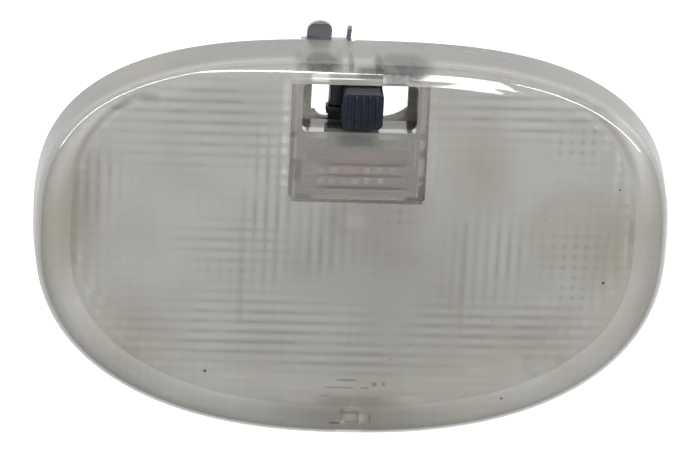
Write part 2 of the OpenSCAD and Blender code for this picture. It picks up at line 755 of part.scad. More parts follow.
module wiper_rivets() {
    low_z = plate_z - wiper_t;
    color(brass_c) for (side = [-1, 1]) translate([side * wiper_rivet_x, wiper_rivet_y, 0]) {
        translate([0, 0, low_z - 0.3]) cylinder(d = 1.8, h = 0.3);
        translate([0, 0, low_z]) cylinder(d = 1, h = plate_top - low_z);
        translate([0, 0, plate_top]) cylinder(d1 = 1.8, d2 = 1.2, h = 0.3);
    }
}

// Compression spring: a round wire swept along a helix
module detent_spring() {
    turns = 6;
    steps = 14;
    sides = 6;
    coil_r = ball_d / 2 - 0.3;
    wire_r = 0.17;
    z0 = ball_z + ball_d / 2 + wire_r;
    pitch = (spring_top - wire_r - z0) / turns;
    n = turns * steps;
    points = [for (i = [0 : n], k = [0 : sides - 1])
        let (a = i * 360 / steps, b = k * 360 / sides, r = coil_r + wire_r * cos(b))
        [r * cos(a), r * sin(a), z0 + i * pitch / steps + wire_r * sin(b)]];
    skin = [for (i = [0 : n - 1], k = [0 : sides - 1])
        let (m = (k + 1) % sides)
        [i * sides + k, i * sides + m, (i + 1) * sides + m, (i + 1) * sides + k]];
    ends = [[for (k = [sides - 1 : -1 : 0]) k], [for (k = [0 : sides - 1]) n * sides + k]];
    color(steel_c) translate([0, detent_y, 0]) polyhedron(points, concat(skin, ends), convexity = 10);
}

module detent_ball() {
    color(steel_c) translate([0, detent_y, ball_z]) sphere(d = ball_d);
}

lens();
switch_carrier();
carrier_screws();
contact_common();
contact_ground();
contact_door();
contact_live();
holder_rivets();
connector_housing();
connector_terminals();
retaining_spring();
spring_rivets();
hinge_bracket();
bracket_rivets();
hinge_pin();
bulb_glass();
bulb_cap_left();
bulb_cap_right();
bulb_filament();
reflector();
heat_shield();
shield_rivets();
reflector_latch();
switch_slider();
wiper_contact();
wiper_rivets();
detent_spring();
detent_ball();
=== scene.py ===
import json
import math

import bpy
import numpy as np
from mathutils import Matrix, Vector


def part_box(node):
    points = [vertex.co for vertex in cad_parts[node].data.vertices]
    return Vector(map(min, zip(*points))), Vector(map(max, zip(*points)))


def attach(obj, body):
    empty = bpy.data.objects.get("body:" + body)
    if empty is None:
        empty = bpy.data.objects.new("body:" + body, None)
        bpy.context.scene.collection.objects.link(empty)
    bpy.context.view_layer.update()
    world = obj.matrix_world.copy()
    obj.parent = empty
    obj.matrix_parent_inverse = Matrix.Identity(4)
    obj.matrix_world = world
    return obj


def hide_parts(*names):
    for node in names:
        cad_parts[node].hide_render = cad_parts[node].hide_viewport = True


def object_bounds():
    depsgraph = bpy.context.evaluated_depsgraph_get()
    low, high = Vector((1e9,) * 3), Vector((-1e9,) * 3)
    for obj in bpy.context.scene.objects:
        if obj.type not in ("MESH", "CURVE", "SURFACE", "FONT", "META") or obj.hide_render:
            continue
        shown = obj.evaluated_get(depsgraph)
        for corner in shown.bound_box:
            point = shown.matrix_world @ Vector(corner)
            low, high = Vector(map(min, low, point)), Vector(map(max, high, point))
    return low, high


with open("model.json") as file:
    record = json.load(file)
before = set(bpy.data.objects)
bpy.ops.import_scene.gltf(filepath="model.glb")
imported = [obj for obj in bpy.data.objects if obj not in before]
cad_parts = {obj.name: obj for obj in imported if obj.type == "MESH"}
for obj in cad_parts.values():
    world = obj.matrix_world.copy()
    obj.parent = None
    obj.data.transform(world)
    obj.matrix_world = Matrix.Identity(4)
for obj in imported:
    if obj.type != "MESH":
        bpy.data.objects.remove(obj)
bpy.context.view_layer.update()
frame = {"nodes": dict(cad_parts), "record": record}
print("frame loaded")

# Shapes are given in millimetres; far lies past every surface, overlap joins solids firmly
mm = 0.001
far = 30
overlap = 0.5
flatEnd = 0.01
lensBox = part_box("lens")
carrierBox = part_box("switch_carrier")


def boxMiddle(node):
    return [(low + high) / 2 / mm for low, high in zip(*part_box(node))]


# What a user would change on the clear lens, in millimetres
lensForm = {
    "halfWidth": lensBox[1][0] / mm,
    "up": lensBox[1][1] / mm,
    "down": -lensBox[0][1] / mm,
    "squareUp": 2.8,
    "squareDown": 2.3,
    "crown": 1.2,
    "draft": 0.75,
    "edgeRadius": 5.0,
    "footEdge": 0.25,
    "wall": 2.2,
    "rimSteps": 360,
    "filletSteps": 12,
    "hollowSteps": 6,
    "faceSteps": 10,
    "flutes": 330,
    "fluteSteps": 6,
    "fluteDepth": 0.16,
    "fluteFade": 0.04,
    "fluteFocus": 6,
    "pillow": 2.6,
    "pillowDrop": 0.55,
    "pillowGap": 0.05,
    "pillowSteps": 5,
    "fieldInset": 9.0,
    "fieldUpInset": 4.0,
    "fieldSquareUp": 3.4,
    "fieldDepth": 2.0,
    "spigotWall": 1.5,
    "smoothAngle": 26,
}
lensForm["faceZ"] = lensBox[1][2] / mm - lensForm["crown"]
lensForm["innerZ"] = lensForm["faceZ"] - lensForm["wall"]
lensForm["spigotRear"] = lensBox[0][2] / mm

# The switch box behind the window, in millimetres
switchBox = {
    "wall": 1.3,
    "carrierGap": 0.1,
    "skirtGap": 1.1,
    "back": 1.5,
    "rear": -6.0,
    "windowDown": 1.8,
    "windowWidth": 26.6,
    "windowHeight": 11.4,
    "windowCorner": 1.2,
    "sill": 2.3,
    "sillZ": 7.0,
    "ribsAbove": (8.8, 4.6, 1.8),
    "ribThick": 0.75,
    "ribDepth": 1.0,
    "ribHalf": 12.0,
    "guideZ": 6.8,
}
switchBox["inner"] = carrierBox[1][0] / mm + switchBox["carrierGap"]
switchBox["low"] = carrierBox[0][1] / mm - switchBox["carrierGap"]
switchBox["top"] = lensForm["up"] - lensForm["draft"] - lensForm["wall"] - switchBox["skirtGap"]
switchBox["windowTop"] = switchBox["top"] - switchBox["windowDown"]
switchBox["windowLow"] = switchBox["windowTop"] - switchBox["windowHeight"]
switchBox["outer"] = switchBox["inner"] + switchBox["wall"]


# Helpers that add objects, build solids and join them
def addObject(name, data):
    thing = bpy.data.objects.new(name, data)
    bpy.context.collection.objects.link(thing)
    return thing


def meshObject(name, points, faces):
    mesh = bpy.data.meshes.new(name)
    mesh.from_pydata([(x * mm, y * mm, z * mm) for x, y, z in points], [], faces)
    mesh.update()
    return addObject(name, mesh)


def prism(name, outline, low, high):
    count = len(outline)
    points = [(x, y, low) for x, y in outline] + [(x, y, high) for x, y in outline]
    faces = [tuple(range(count - 1, -1, -1)), tuple(range(count, 2 * count))]
    faces += [(i, (i + 1) % count, (i + 1) % count + count, i + count) for i in range(count)]
    return meshObject(name, points, faces)


def boxSolid(name, low, high):
    outline = [(low[0], low[1]), (high[0], low[1]), (high[0], high[1]), (low[0], high[1])]
    return prism(name, outline, low[2], high[2])


def roundedOutline(low, high, radius, steps=8):
    corners = [(high[0], high[1]), (low[0], high[1]), (low[0], low[1]), (high[0], low[1])]
    outline = []
    for start, (x, y) in zip((0, 90, 180, 270), corners):
        cx = x - radius if x == high[0] else x + radius
        cy = y - radius if y == high[1] else y + radius
        for k in range(steps + 1):
            turn = math.radians(start + 90 * k / steps)
            outline.append((cx + radius * math.cos(turn), cy + radius * math.sin(turn)))
    return outline


def softBlock(name, low, high, corner, edge):
    block = prism(name, roundedOutline(low, high, corner), low[2], high[2])
    return roundEdges(block, edge)


def applied(thing):
    graph = bpy.context.evaluated_depsgraph_get()
    result = bpy.data.meshes.new_from_object(thing.evaluated_get(graph))
    thing.modifiers.clear()
    thing.data = result
    return thing


def roundEdges(thing, width, segments=3):
    bevel = thing.modifiers.new("bevel", "BEVEL")
    bevel.width = width * mm
    bevel.segments = segments
    bevel.limit_method = "ANGLE"
    bevel.angle_limit = math.radians(40)
    return applied(thing)


# Round bar with domed ends between two points; a dome's tip is a small flat
def roundBar(name, start, end, radius, dome, sides=20, rings=5, tip=0.02):
    start, end = Vector(start), Vector(end)
    turn = Vector((0, 0, 1)).rotation_difference(end - start)
    length = (end - start).length
    profile = []
    for k in range(rings + 1):
        angle = math.pi / 2 * k / rings
        profile.append((radius * math.sin(angle) if k else tip, -dome * math.cos(angle)))
    profile += [(r, length - z) for r, z in reversed(profile)]
    points = []
    for r, z in profile:
        for i in range(sides):
            angle = 2 * math.pi * i / sides
            points.append(start + turn @ Vector((r * math.cos(angle), r * math.sin(angle), z)))
    last = (len(profile) - 1) * sides
    faces = [tuple(range(sides - 1, -1, -1)), tuple(range(last, last + sides))]
    for k in range(len(profile) - 1):
        for i in range(sides):
            j = (i + 1) % sides
            faces.append((k * sides + i, k * sides + j, (k + 1) * sides + j, (k + 1) * sides + i))
    return meshObject(name, points, faces)


def combine(target, other, operation):
    boolean = target.modifiers.new("boolean", "BOOLEAN")
    boolean.operation = operation
    boolean.solver = "MANIFOLD"
    boolean.object = other
    applied(target)
    bpy.data.objects.remove(other)
    return target


def cut(target, other):
    return combine(target, other, "DIFFERENCE")


def join(target, other):
    return combine(target, other, "UNION")


def softShade(thing, degrees):
    thing.data.shade_smooth()
    thing.data.set_sharp_from_angle(angle=math.radians(degrees))


# The clear lens
def rimPoint(turn, inset):
    isUp = math.sin(turn) >= 0
    square = lensForm["squareUp"] if isUp else lensForm["squareDown"]
    tall = (lensForm["up"] if isUp else lensForm["down"]) - inset
    wide = lensForm["halfWidth"] - inset
    reach = (abs(math.cos(turn)) / wide) ** square + (abs(math.sin(turn)) / tall) ** square
    reach = reach ** (-1 / square)
    return reach * math.cos(turn), reach * math.sin(turn)


# Outline of the pillow field and of the wall behind it, squarer and wider on the switch side
def fieldOutline(inset, count):
    form, outline = lensForm, []
    square = form["fieldSquareUp"]
    wide = form["halfWidth"] - form["fieldInset"] - inset
    tall = form["up"] - form["fieldUpInset"] - inset
    for i in range(count):
        turn = 2 * math.pi * i / count
        across, along = abs(math.cos(turn)), math.sin(turn)
        if along < 0:
            outline.append(rimPoint(turn, form["fieldInset"] + inset))
            continue
        reach = ((across / wide) ** square + (along / tall) ** square) ** (-1 / square)
        outline.append((reach * math.cos(turn), reach * along))
    return outline


def rimOutline(inset, count):
    return [rimPoint(2 * math.pi * i / count, inset) for i in range(count)]


def ringLoft(name, rings, count, topZ, outlineAt=rimOutline):
    points = [(x, y, z) for inset, z in rings for x, y in outlineAt(inset, count)]
    points.append((0, 0, topZ))
    last = len(rings) - 1
    faces = [tuple(range(count - 1, -1, -1))]
    for k in range(last):
        for i in range(count):
            j = (i + 1) % count
            faces.append((k * count + i, k * count + j, (k + 1) * count + j, (k + 1) * count + i))
    faces += [(last * count + i, last * count + (i + 1) % count, len(points) - 1) for i in range(count)]
    return meshObject(name, points, faces)


def lensSkin():
    form, foot = lensForm, lensForm["footEdge"]
    radius, draft, top = form["edgeRadius"], form["draft"], form["faceZ"]
    rings = [(foot, 0.0), (0.0, foot), (draft / 2, (top - radius) / 2)]
    for k in range(form["filletSteps"] + 1):
        turn = math.pi / 2 * k / form["filletSteps"]
        rings.append((draft + radius * (1 - math.cos(turn)), top - radius + radius * math.sin(turn)))
    start = draft + radius
    for k in range(1, form["faceSteps"]):
        share = k / form["faceSteps"]
        rise = form["crown"] * (1 - (1 - share) ** 2)
        rings.append((start + share * (form["up"] - start), top + rise))
    return ringLoft("lensSkin", rings, form["rimSteps"], top + form["crown"])


def flutedOutline(inset, count):
    form, outline = lensForm, []
    for i in range(count):
        across = (i % form["fluteSteps"]) / form["fluteSteps"] * 2 - 1
        turn = 2 * math.pi * i / count
        side = form["fluteFade"] + (1 - form["fluteFade"]) * math.cos(turn) ** form["fluteFocus"]
        depth = form["fluteDepth"] * side
        outline.append(rimPoint(turn, inset - depth * (1 - across * across)))
    return outline


# Its inner edge is rounded like the outer one, a wall's thickness inside it
def flutedHollow():
    form = lensForm
    wallIn, top = form["wall"] + form["draft"], form["innerZ"]
    radius, steps = form["edgeRadius"] - form["wall"], form["hollowSteps"]
    rings = [(wallIn, -2 * overlap)]
    for k in range(steps + 1):
        turn = math.pi / 2 * k / steps
        rings.append((wallIn + radius * (1 - math.cos(turn)), top - radius * (1 - math.sin(turn))))
    return ringLoft("flutedHollow", rings, form["flutes"] * form["fluteSteps"], top, flutedOutline)


def pillowSheet():
    form, pitch, steps = lensForm, lensForm["pillow"], lensForm["pillowSteps"]
    nx = 2 * math.ceil((form["halfWidth"] - form["fieldInset"]) / pitch)
    tall = max(form["down"] - form["fieldInset"], form["up"] - form["fieldUpInset"])
    ny = 2 * math.ceil(tall / pitch)
    cols, rows = nx * steps + 1, ny * steps + 1
    x = (np.arange(cols) / steps - nx / 2) * pitch
    y = (np.arange(rows) / steps - ny / 2) * pitch
    u = (np.arange(cols) % steps) / steps * 2 - 1
    v = (np.arange(rows) % steps) / steps * 2 - 1
    bulge = 1 - (u[None, :] ** 2 + v[:, None] ** 2) / 2
    z = form["innerZ"] - form["pillowGap"] - form["pillowDrop"] * bulge
    gridX, gridY = np.meshgrid(x, y)
    points = list(zip(gridX.ravel().tolist(), gridY.ravel().tolist(), z.ravel().tolist()))
    faces = [
        (j * cols + i, (j + 1) * cols + i, (j + 1) * cols + i + 1, j * cols + i + 1)
        for j in range(rows - 1)
        for i in range(cols - 1)
    ]
    top = form["innerZ"] + overlap
    base = rows * cols
    points += [(x[0], y[0], top), (x[-1], y[0], top), (x[-1], y[-1], top), (x[0], y[-1], top)]
    faces += [
        (base, base + 1, base + 2, base + 3),
        (base + 1, base, *range(cols)),
        (base + 3, base + 2, *range(base - 1, base - cols - 1, -1)),
        (base, base + 3, *range(base - cols, -1, -cols)),
        (base + 2, base + 1, *range(cols - 1, base, cols)),
    ]
    return meshObject("pillowSheet", points, faces)


def makeLens():
    form, inner, count = lensForm, lensForm["innerZ"], lensForm["rimSteps"]
    shell = cut(lensSkin(), flutedHollow())
    field = prism("field", fieldOutline(0, count), inner - form["fieldDepth"], form["faceZ"])
    join(shell, combine(pillowSheet(), field, "INTERSECT"))
    spigot = prism("spigot", fieldOutline(0, count), form["spigotRear"], inner + overlap)
    cut(spigot, prism("bore", fieldOutline(form["spigotWall"], count), -far, inner + 2 * overlap))
    out, box = switchBox["outer"], switchBox
    cut(spigot, boxSolid("gap", (-out, 0, -far), (out, form["up"], inner + 2 * overlap)))
    join(shell, spigot)
    low = (-out, box["low"] - box["wall"], box["rear"])
    join(shell, boxSolid("tower", low, (out, box["top"] + box["back"], inner + overlap)))
    addHolderRibs(shell)
    cutSwitchBox(shell)
    addPanelRibs(shell)
    cutSmallMarks(shell)
    cutFixings(shell)
    sortLensFaces(shell)
    softShade(shell, form["smoothAngle"])
    shell.name = "lensClear"
    return shell


# Walls that the bulb's holders are riveted to, in millimetres
holderRib = {"inside": 1.5, "half": 0.8, "low": -20.0, "high": 7.0, "corner": 0.6}


def addHolderRibs(shell):
    rib, half = holderRib, holderRib["half"]
    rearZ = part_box("contact_live")[1][2] / mm
    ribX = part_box("holder_rivets")[1][0] / mm - rib["inside"]
    for side in (-1, 1):
        low, high = (side * ribX - half, rib["low"]), (side * ribX + half, rib["high"])
        outline = roundedOutline(low, high, rib["corner"], 4)
        join(shell, prism("rib", outline, rearZ, lensForm["innerZ"] + overlap))


def cutSwitchBox(shell):
    box, inner = switchBox, lensForm["innerZ"]
    wide, sillLow, slack = box["inner"], box["windowLow"] - box["sill"], 0.01
    spaces = [
        ((-wide, box["low"], -far), (wide, sillLow, inner)),
        ((-wide, sillLow - slack, -far), (wide, box["windowLow"] + slack, box["sillZ"])),
        ((-wide, box["windowLow"], -far), (wide, box["top"], inner)),
    ]
    for low, high in spaces:
        cut(shell, boxSolid("space", low, high))
    half = box["windowWidth"] / 2
    opening = roundedOutline((-half, box["windowLow"]), (half, box["windowTop"]), box["windowCorner"])
    cut(shell, prism("opening", opening, box["sillZ"], far))


def addPanelRibs(shell):
    box, inner = switchBox, lensForm["innerZ"]
    for k, rise in enumerate(box["ribsAbove"]):
        y, half = box["low"] + rise, box["ribThick"] / 2
        low = inner - box["ribDepth"] if k else box["guideZ"]
        low, high = (-box["ribHalf"], y - half, low), (box["ribHalf"], y + half, inner + overlap)
        join(shell, boxSolid("rib", low, high))


# Grooves round the panel; pocket and notch as x, and y above the lens's foot; in millimetres
smallMarks = {
    "grooveWidth": 0.9,
    "grooveDepth": 0.1,
    "grooveCorner": 0.44,
    "pocket": ((-1.3, 5.2), (3.2, 8.2)),
    "pocketDepth": 0.8,
    "notch": ((-1.5, -2.0), (4.5, 4.0)),
    "notchZ": (-1.0, 2.2),
    "corner": 0.5,
    "steps": 4,
}


def cutSmallMarks(shell):
    marks, box, top, foot = smallMarks, switchBox, lensForm["faceZ"], -lensForm["down"]
    out, wide, deep, steps = box["outer"], marks["grooveWidth"], marks["grooveDepth"], marks["steps"]
    half, ends = wide / 2, (box["low"], box["windowTop"])
    grooves = [
        ((-out - half, ends[0]), (-out + half, ends[1]), deep),
        ((out - half, ends[0]), (out + half, ends[1]), deep),
        ((-out, box["low"] - wide), (out, box["low"]), 0.0),
    ]
    for low, high, depth in grooves:
        groove = roundedOutline(low, high, marks["grooveCorner"], steps)
        cut(shell, prism("groove", groove, top - depth, far))
    heights = {"pocket": (top - marks["pocketDepth"], far), "notch": marks["notchZ"]}
    for name, (low, high) in heights.items():
        (left, under), (right, over) = marks[name]
        outline = roundedOutline((left, foot + under), (right, foot + over), marks["corner"], steps)
        cut(shell, prism(name, outline, low, high))


# Room for the spring's foot, the carrier's screws and the live strip, in millimetres
fixings = {
    "springInside": 0.6,
    "springEnd": -1.0,
    "springZ": (-1.0, 0.8),
    "screwEnds": 0.6,
    "screwRadius": 1.1,
    "stripDown": (12.9, 5.3),
    "stripWide": 1.4,
    "stripGap": 0.3,
    "stripRear": -20.0,
}


def cutFixings(shell):
    fix, box, stripTop = fixings, switchBox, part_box("contact_live")[1][2] / mm
    low = (-box["inner"] + fix["springInside"], box["top"] + box["back"] - 0.02, fix["springZ"][0])
    high = (fix["springEnd"], lensForm["up"] + 1, fix["springZ"][1])
    cut(shell, boxSolid("relief", low, high))
    screwY, screwZ = boxMiddle("carrier_screws")[1:]
    for side in (-1, 1):
        start = (side * (box["inner"] - fix["screwEnds"]), screwY, screwZ)
        end = (side * (box["outer"] + fix["screwEnds"]), screwY, screwZ)
        cut(shell, roundBar("screwHole", start, end, fix["screwRadius"], flatEnd, rings=1))
    under, over = fix["stripDown"]
    low = (box["outer"], box["top"] - under, fix["stripRear"])
    high = (box["outer"] + fix["stripWide"], box["top"] - over, stripTop + fix["stripGap"])
    cut(shell, boxSolid("slot", low, high))


# How faces are told apart: millimetres, and the z of a normal that looks down
sorting = {
    "near": 0.1,
    "crestDown": 3.0,
    "hollowRise": 0.3,
    "pillowSlack": 0.06,
    "pillowNormal": -0.3,
    "panelDepth": 1.2,
    "endDepth": 5.0,
    "endInset": 1.0,
    "endNormal": -0.9,
    "ceilingDepth": 3.0,
    "ceilingInset": 3.0,
}


# Slot 0 is the face, 1 the pillows, 3 the outside of the skirt, 4 the panel round the window,
# 5 the rear ends of the walls, 6 the ceiling outside the field and 2 every other surface
def sortLensFaces(shell):
    mesh, form, box, near = shell.data, lensForm, switchBox, sorting["near"]
    count = len(mesh.polygons)
    centre, normal = np.zeros(count * 3), np.zeros(count * 3)
    mesh.polygons.foreach_get("center", centre)
    mesh.polygons.foreach_get("normal", normal)
    x, y, z = centre.reshape(-1, 3).T / mm
    lookUp, isUp, inner = normal.reshape(-1, 3)[:, 2], y >= 0, form["innerZ"]

    def reach(wide, tall, squareUp):
        square = np.where(isUp, squareUp, form["squareDown"])
        return (np.abs(x) / wide) ** square + (np.abs(y) / tall) ** square

    def outlineReach(inset):
        tall = np.where(isUp, form["up"], form["down"]) - inset
        return reach(form["halfWidth"] - inset, tall, form["squareUp"])

    fieldTall = np.where(isUp, form["up"] - form["fieldUpInset"], form["down"] - form["fieldInset"])
    inField = reach(form["halfWidth"] - form["fieldInset"], fieldTall, form["fieldSquareUp"]) < 1
    outside = (outlineReach(form["wall"] + near) > 1) | (z > inner + sorting["hollowRise"])
    inBox = (np.abs(x) < box["outer"] + near) & (y > box["low"] - box["wall"] - near)
    low, high = inner - form["pillowDrop"] - sorting["pillowSlack"], inner + near
    pillow = (z > low) & (z < high) & (lookUp < sorting["pillowNormal"]) & ~inBox
    skin = np.where(z > form["faceZ"] - sorting["crestDown"], 0, 3)
    panel = (z > form["faceZ"] - sorting["panelDepth"]) & inBox
    skin = np.where(panel & (y > box["low"]) & (y < box["windowTop"]), 4, skin)
    ends = (lookUp < sorting["endNormal"]) & (z < inner - sorting["endDepth"])
    ends &= outlineReach(form["wall"] + sorting["endInset"]) < 1
    ceiling = (z > inner - sorting["ceilingDepth"]) & ~inBox
    ceiling &= outlineReach(form["fieldInset"] + sorting["ceilingInset"]) > 1
    inside = np.where(ends, 5, np.where(ceiling, 6, 2))
    slots = np.where(pillow & inField, 1, np.where(outside, skin, inside))
    mesh.polygons.foreach_set("material_index", slots.astype(np.int32))


lens = makeLens()
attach(lens, "lens_body")
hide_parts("lens")
print("lens made", len(lens.data.polygons))

# The slide switch's moulding, in millimetres
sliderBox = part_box("switch_slider")
sliderForm = {
    "plateZ": sliderBox[0][2] / mm,
    "plate": 2.0,
    "plateWidth": 13.0,
    "plateReach": (2.6, 2.4),
    "detentY": switchBox["low"] + 11.2,
    "top": sliderBox[1][2] / mm,
    "knobLow": switchBox["windowTop"] - 9.45,
    "knobTop": switchBox["windowTop"] - 0.35,
    "knobLeft": -4.35,
    "knobRight": 5.05,
    "knobCorner": 1.3,
    "knobDepth": 3.0,
    "knobEdge": 0.4,
    "slope": 0.5,
    "slopeDepth": 1.0,
    "ribs": 5,
    "ribRadius": 0.45,
    "ribEnds": 1.0,
    "ribSink": (0.06, 0.18),
    "neckOut": 2.55,
    "neckUp": 3.4,
    "backGap": 0.3,
    "faceGap": 0.4,
    "lugOut": 0.6,
    "lugReach": (1.65, 3.5),
    "lugRise": 1.4,
    "boss": {"rise": 5.0, "radius": 1.8, "bore": 1.25, "floor": 1.0},
    "pinHole": {"side": 4.2, "up": 0.5, "radius": 0.5},
    "smoothAngle": 35,
}


def makeKnob(form):
    left, right, top = form["knobLeft"], form["knobRight"], form["top"]
    low, high, ends = form["knobLow"], form["knobTop"], form["ribEnds"]
    outline = roundedOutline((left, low), (right, high), form["knobCorner"], 6)
    knob = prism("knob", outline, lensForm["innerZ"] - form["knobDepth"], top)
    for point in knob.data.vertices:
        if point.co.z > (top - form["slopeDepth"]) * mm:
            share = (high - point.co.y / mm) / (high - low)
            point.co.z -= form["slope"] * share * mm
    roundEdges(knob, form["knobEdge"], 4)
    ridge = (right - left) / (form["ribs"] + 1)
    for i in range(1, form["ribs"] + 1):
        x = left + i * ridge
        start = (x, low + ends, top - form["slope"] - form["ribSink"][0])
        end = (x, high - ends, top - form["ribSink"][1])
        join(knob, roundBar("rib", start, end, form["ribRadius"], form["knobEdge"]))
    return knob


def makeSlider(form):
    base, top = form["plateZ"], form["plateZ"] + form["plate"]
    right, neckLeft = form["knobRight"], form["knobLeft"] - form["neckOut"]
    detent, back = form["detentY"], switchBox["top"] - form["backGap"]
    half, (under, over) = form["plateWidth"] / 2, form["plateReach"]
    lugLow, lugHigh = (switchBox["windowLow"] + reach for reach in form["lugReach"])
    neckLow, neckTop = form["knobLow"] + form["neckUp"], lensForm["innerZ"] - form["faceGap"]
    slider = makeKnob(form)
    # Each block's low corner, high corner, corner radius and edge radius
    blocks = [
        ((-half, detent - under, base), (half, detent + over, top), 0.5, 0.2),
        ((neckLeft, detent, base), (right, back, top), 0.4, 0.2),
        ((neckLeft - form["lugOut"], lugLow, base), (right, lugHigh, top + form["lugRise"]), 0.4, 0.25),
        ((neckLeft, neckLow, base), (right, back, neckTop), 0.5, 0.3),
    ]
    for low, high, corner, edge in blocks:
        join(slider, softBlock("block", low, high, corner, edge))
    boss, pin, dome = form["boss"], form["pinHole"], 0.3
    start, end = (0, detent, base + overlap), (0, detent, top + boss["rise"] - dome)
    join(slider, roundBar("boss", start, end, boss["radius"], dome, 32))
    start, end = (0, detent, base - 1), (0, detent, top + boss["rise"] - boss["floor"])
    cut(slider, roundBar("bore", start, end, boss["bore"], flatEnd, 32, 1))
    for x in (-pin["side"], pin["side"]):
        start, end = (x, detent + pin["up"], base - 1), (x, detent + pin["up"], top + 1)
        cut(slider, roundBar("hole", start, end, pin["radius"], flatEnd, 16, 1))
    softShade(slider, form["smoothAngle"])
    slider.name = "sliderMoulding"
    return slider


slider = makeSlider(sliderForm)
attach(slider, "switch_body")
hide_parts("switch_slider")
print("slider made", len(slider.data.polygons))

# The bright pan, in millimetres
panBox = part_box("reflector")
panForm = {
    "inset": lensForm["spigotWall"] + 0.8,
    "slope": 5.0,
    "sheet": 0.8,
    "rim": panBox[1][2] / mm,
    "depth": -panBox[0][2] / mm,
    "steps": 240,
    "curveSteps": 8,
    "curveMiddle": (0.4, 3.0),
    "curveTop": 7.0,
    "flatInset": 3.0,
    "notchGap": 1.2,
    "knuckleHalf": 8.7,
    "knuckle": 2.0,
    "pinHole": 1.05,
    "leafThick": 1.8,
    "tongueHalf": 5.0,
    "tongueThick": 1.0,
    "tongueDrop": 1.1,
    "tongueGap": 0.9,
    "wallIn": 0.6,
    "rivetHole": 0.8,
    "rivetInside": 1.5,
    "smoothAngle": 30,
}


def panSolid(grow, low, high):
    form = panForm
    inset, slope, deep = form["inset"] + grow, form["slope"], form["depth"]
    middleIn, middleUp = form["curveMiddle"]
    corners = [
        (inset + slope, low),
        (inset + middleIn * slope, middleUp - deep),
        (inset, form["curveTop"] - deep),
    ]
    rings = [(inset + slope + form["flatInset"], low + 0.001), corners[0]]
    for k in range(1, form["curveSteps"]):
        t = k / form["curveSteps"]
        weights = ((1 - t) ** 2, 2 * t * (1 - t), t * t)
        near = [sum(w * c[i] for w, c in zip(weights, corners)) for i in (0, 1)]
        rings.append(tuple(near))
    rings += [corners[2], (inset, high)]
    return ringLoft("pan", rings, form["steps"], high, fieldOutline)


def makePan():
    form, box = panForm, switchBox
    x, low = box["outer"] + form["notchGap"], box["low"] - box["wall"] - form["notchGap"]
    sheet, deep = form["sheet"], form["depth"]
    pan = panSolid(0, -deep, form["rim"])
    cut(pan, boxSolid("notch", (-x, low, -far), (x, 2 * far, 5)))
    hollow = panSolid(sheet, sheet - deep, form["rim"] + 1)
    wide = boxSolid("notch", (-x - sheet, low - sheet, -far), (x + sheet, 2 * far, 5))
    cut(pan, cut(hollow, wide))
    hingeX, _, hingeZ = boxMiddle("hinge_pin")
    half, rimX = form["knuckleHalf"], lensForm["halfWidth"] - lensForm["fieldInset"] - form["inset"]
    wallX, thick = rimX - form["wallIn"] * form["slope"], form["leafThick"] / 2
    start, end = (hingeX, -half, hingeZ), (hingeX, half, hingeZ)
    join(pan, roundBar("knuckle", start, end, form["knuckle"], flatEnd, 40, 1))
    low, high = (hingeX, -half, hingeZ - thick), (overlap - wallX, half, hingeZ + thick)
    join(pan, softBlock("leaf", low, high, 0.4, 0.3))
    beadZ, endX = lensForm["spigotRear"] - form["tongueDrop"], rimX - form["tongueGap"]
    half, thick = form["tongueHalf"], form["tongueThick"] / 2
    low, high = (wallX - overlap, -half, beadZ - thick), (endX, half, beadZ + thick)
    join(pan, softBlock("tongue", low, high, 0.8, 0.3))
    half = form["knuckleHalf"] + 1
    start, end = (hingeX, -half, hingeZ), (hingeX, half, hingeZ)
    cut(pan, roundBar("pinHole", start, end, form["pinHole"], flatEnd, 40, 1))
    rivets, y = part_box("shield_rivets"), boxMiddle("shield_rivets")[1]
    for x in (rivets[0][0] / mm + form["rivetInside"], rivets[1][0] / mm - form["rivetInside"]):
        start, end = (x, y, -deep - 1), (x, y, 2 - deep)
        cut(pan, roundBar("hole", start, end, form["rivetHole"], flatEnd, 24, 1))
    softShade(pan, form["smoothAngle"])
    pan.name = "reflectorPan"
    return pan


pan = makePan()
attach(pan, "reflector_body")
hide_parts("reflector")
print("pan made", len(pan.data.polygons))


# Shader helpers: an input may be a plain value or a socket to link from
def fill(tree, socket, value):
    if isinstance(value, bpy.types.NodeSocket):
        tree.links.new(value, socket)
    elif isinstance(value, tuple) and socket.type == "RGBA":
        socket.default_value = (*value, 1)
    else:
        socket.default_value = value


def fillAll(tree, sockets, values):
    for name, value in values.items():
        fill(tree, sockets[name], value)


def addNode(tree, kind, inputs=None, **settings):
    made = tree.nodes.new(kind)
    for name, value in settings.items():
        setattr(made, name, value)
    fillAll(tree, made.inputs, inputs or {})
    return made


def maths(tree, operation, first, second=0.0):
    return addNode(tree, "ShaderNodeMath", {0: first, 1: second}, operation=operation).outputs[0]


def product(tree, first, *others):
    for other in others:
        first = maths(tree, "MULTIPLY", first, other)
    return first


def vectorMaths(tree, operation, first, second=(0.0, 0.0, 0.0)):
    return addNode(tree, "ShaderNodeVectorMath", {0: first, 1: second}, operation=operation).outputs


def blendColour(tree, share, first, second):
    mix = addNode(tree, "ShaderNodeMix", {0: share, 6: first, 7: second}, data_type="RGBA")
    return mix.outputs[2]


def ramp(tree, value, fromLow, fromHigh, toLow=0.0, toHigh=1.0, smooth=True):
    inputs = {"From Min": fromLow, "From Max": fromHigh, "To Min": toLow, "To Max": toHigh}
    kind = {"interpolation_type": "SMOOTHSTEP" if smooth else "LINEAR"}
    return addNode(tree, "ShaderNodeMapRange", {"Value": value, **inputs}, **kind).outputs[0]


def place(tree):
    return addNode(tree, "ShaderNodeTexCoord").outputs["Object"]


def axesOf(tree, vector):
    return addNode(tree, "ShaderNodeSeparateXYZ", {0: vector}).outputs


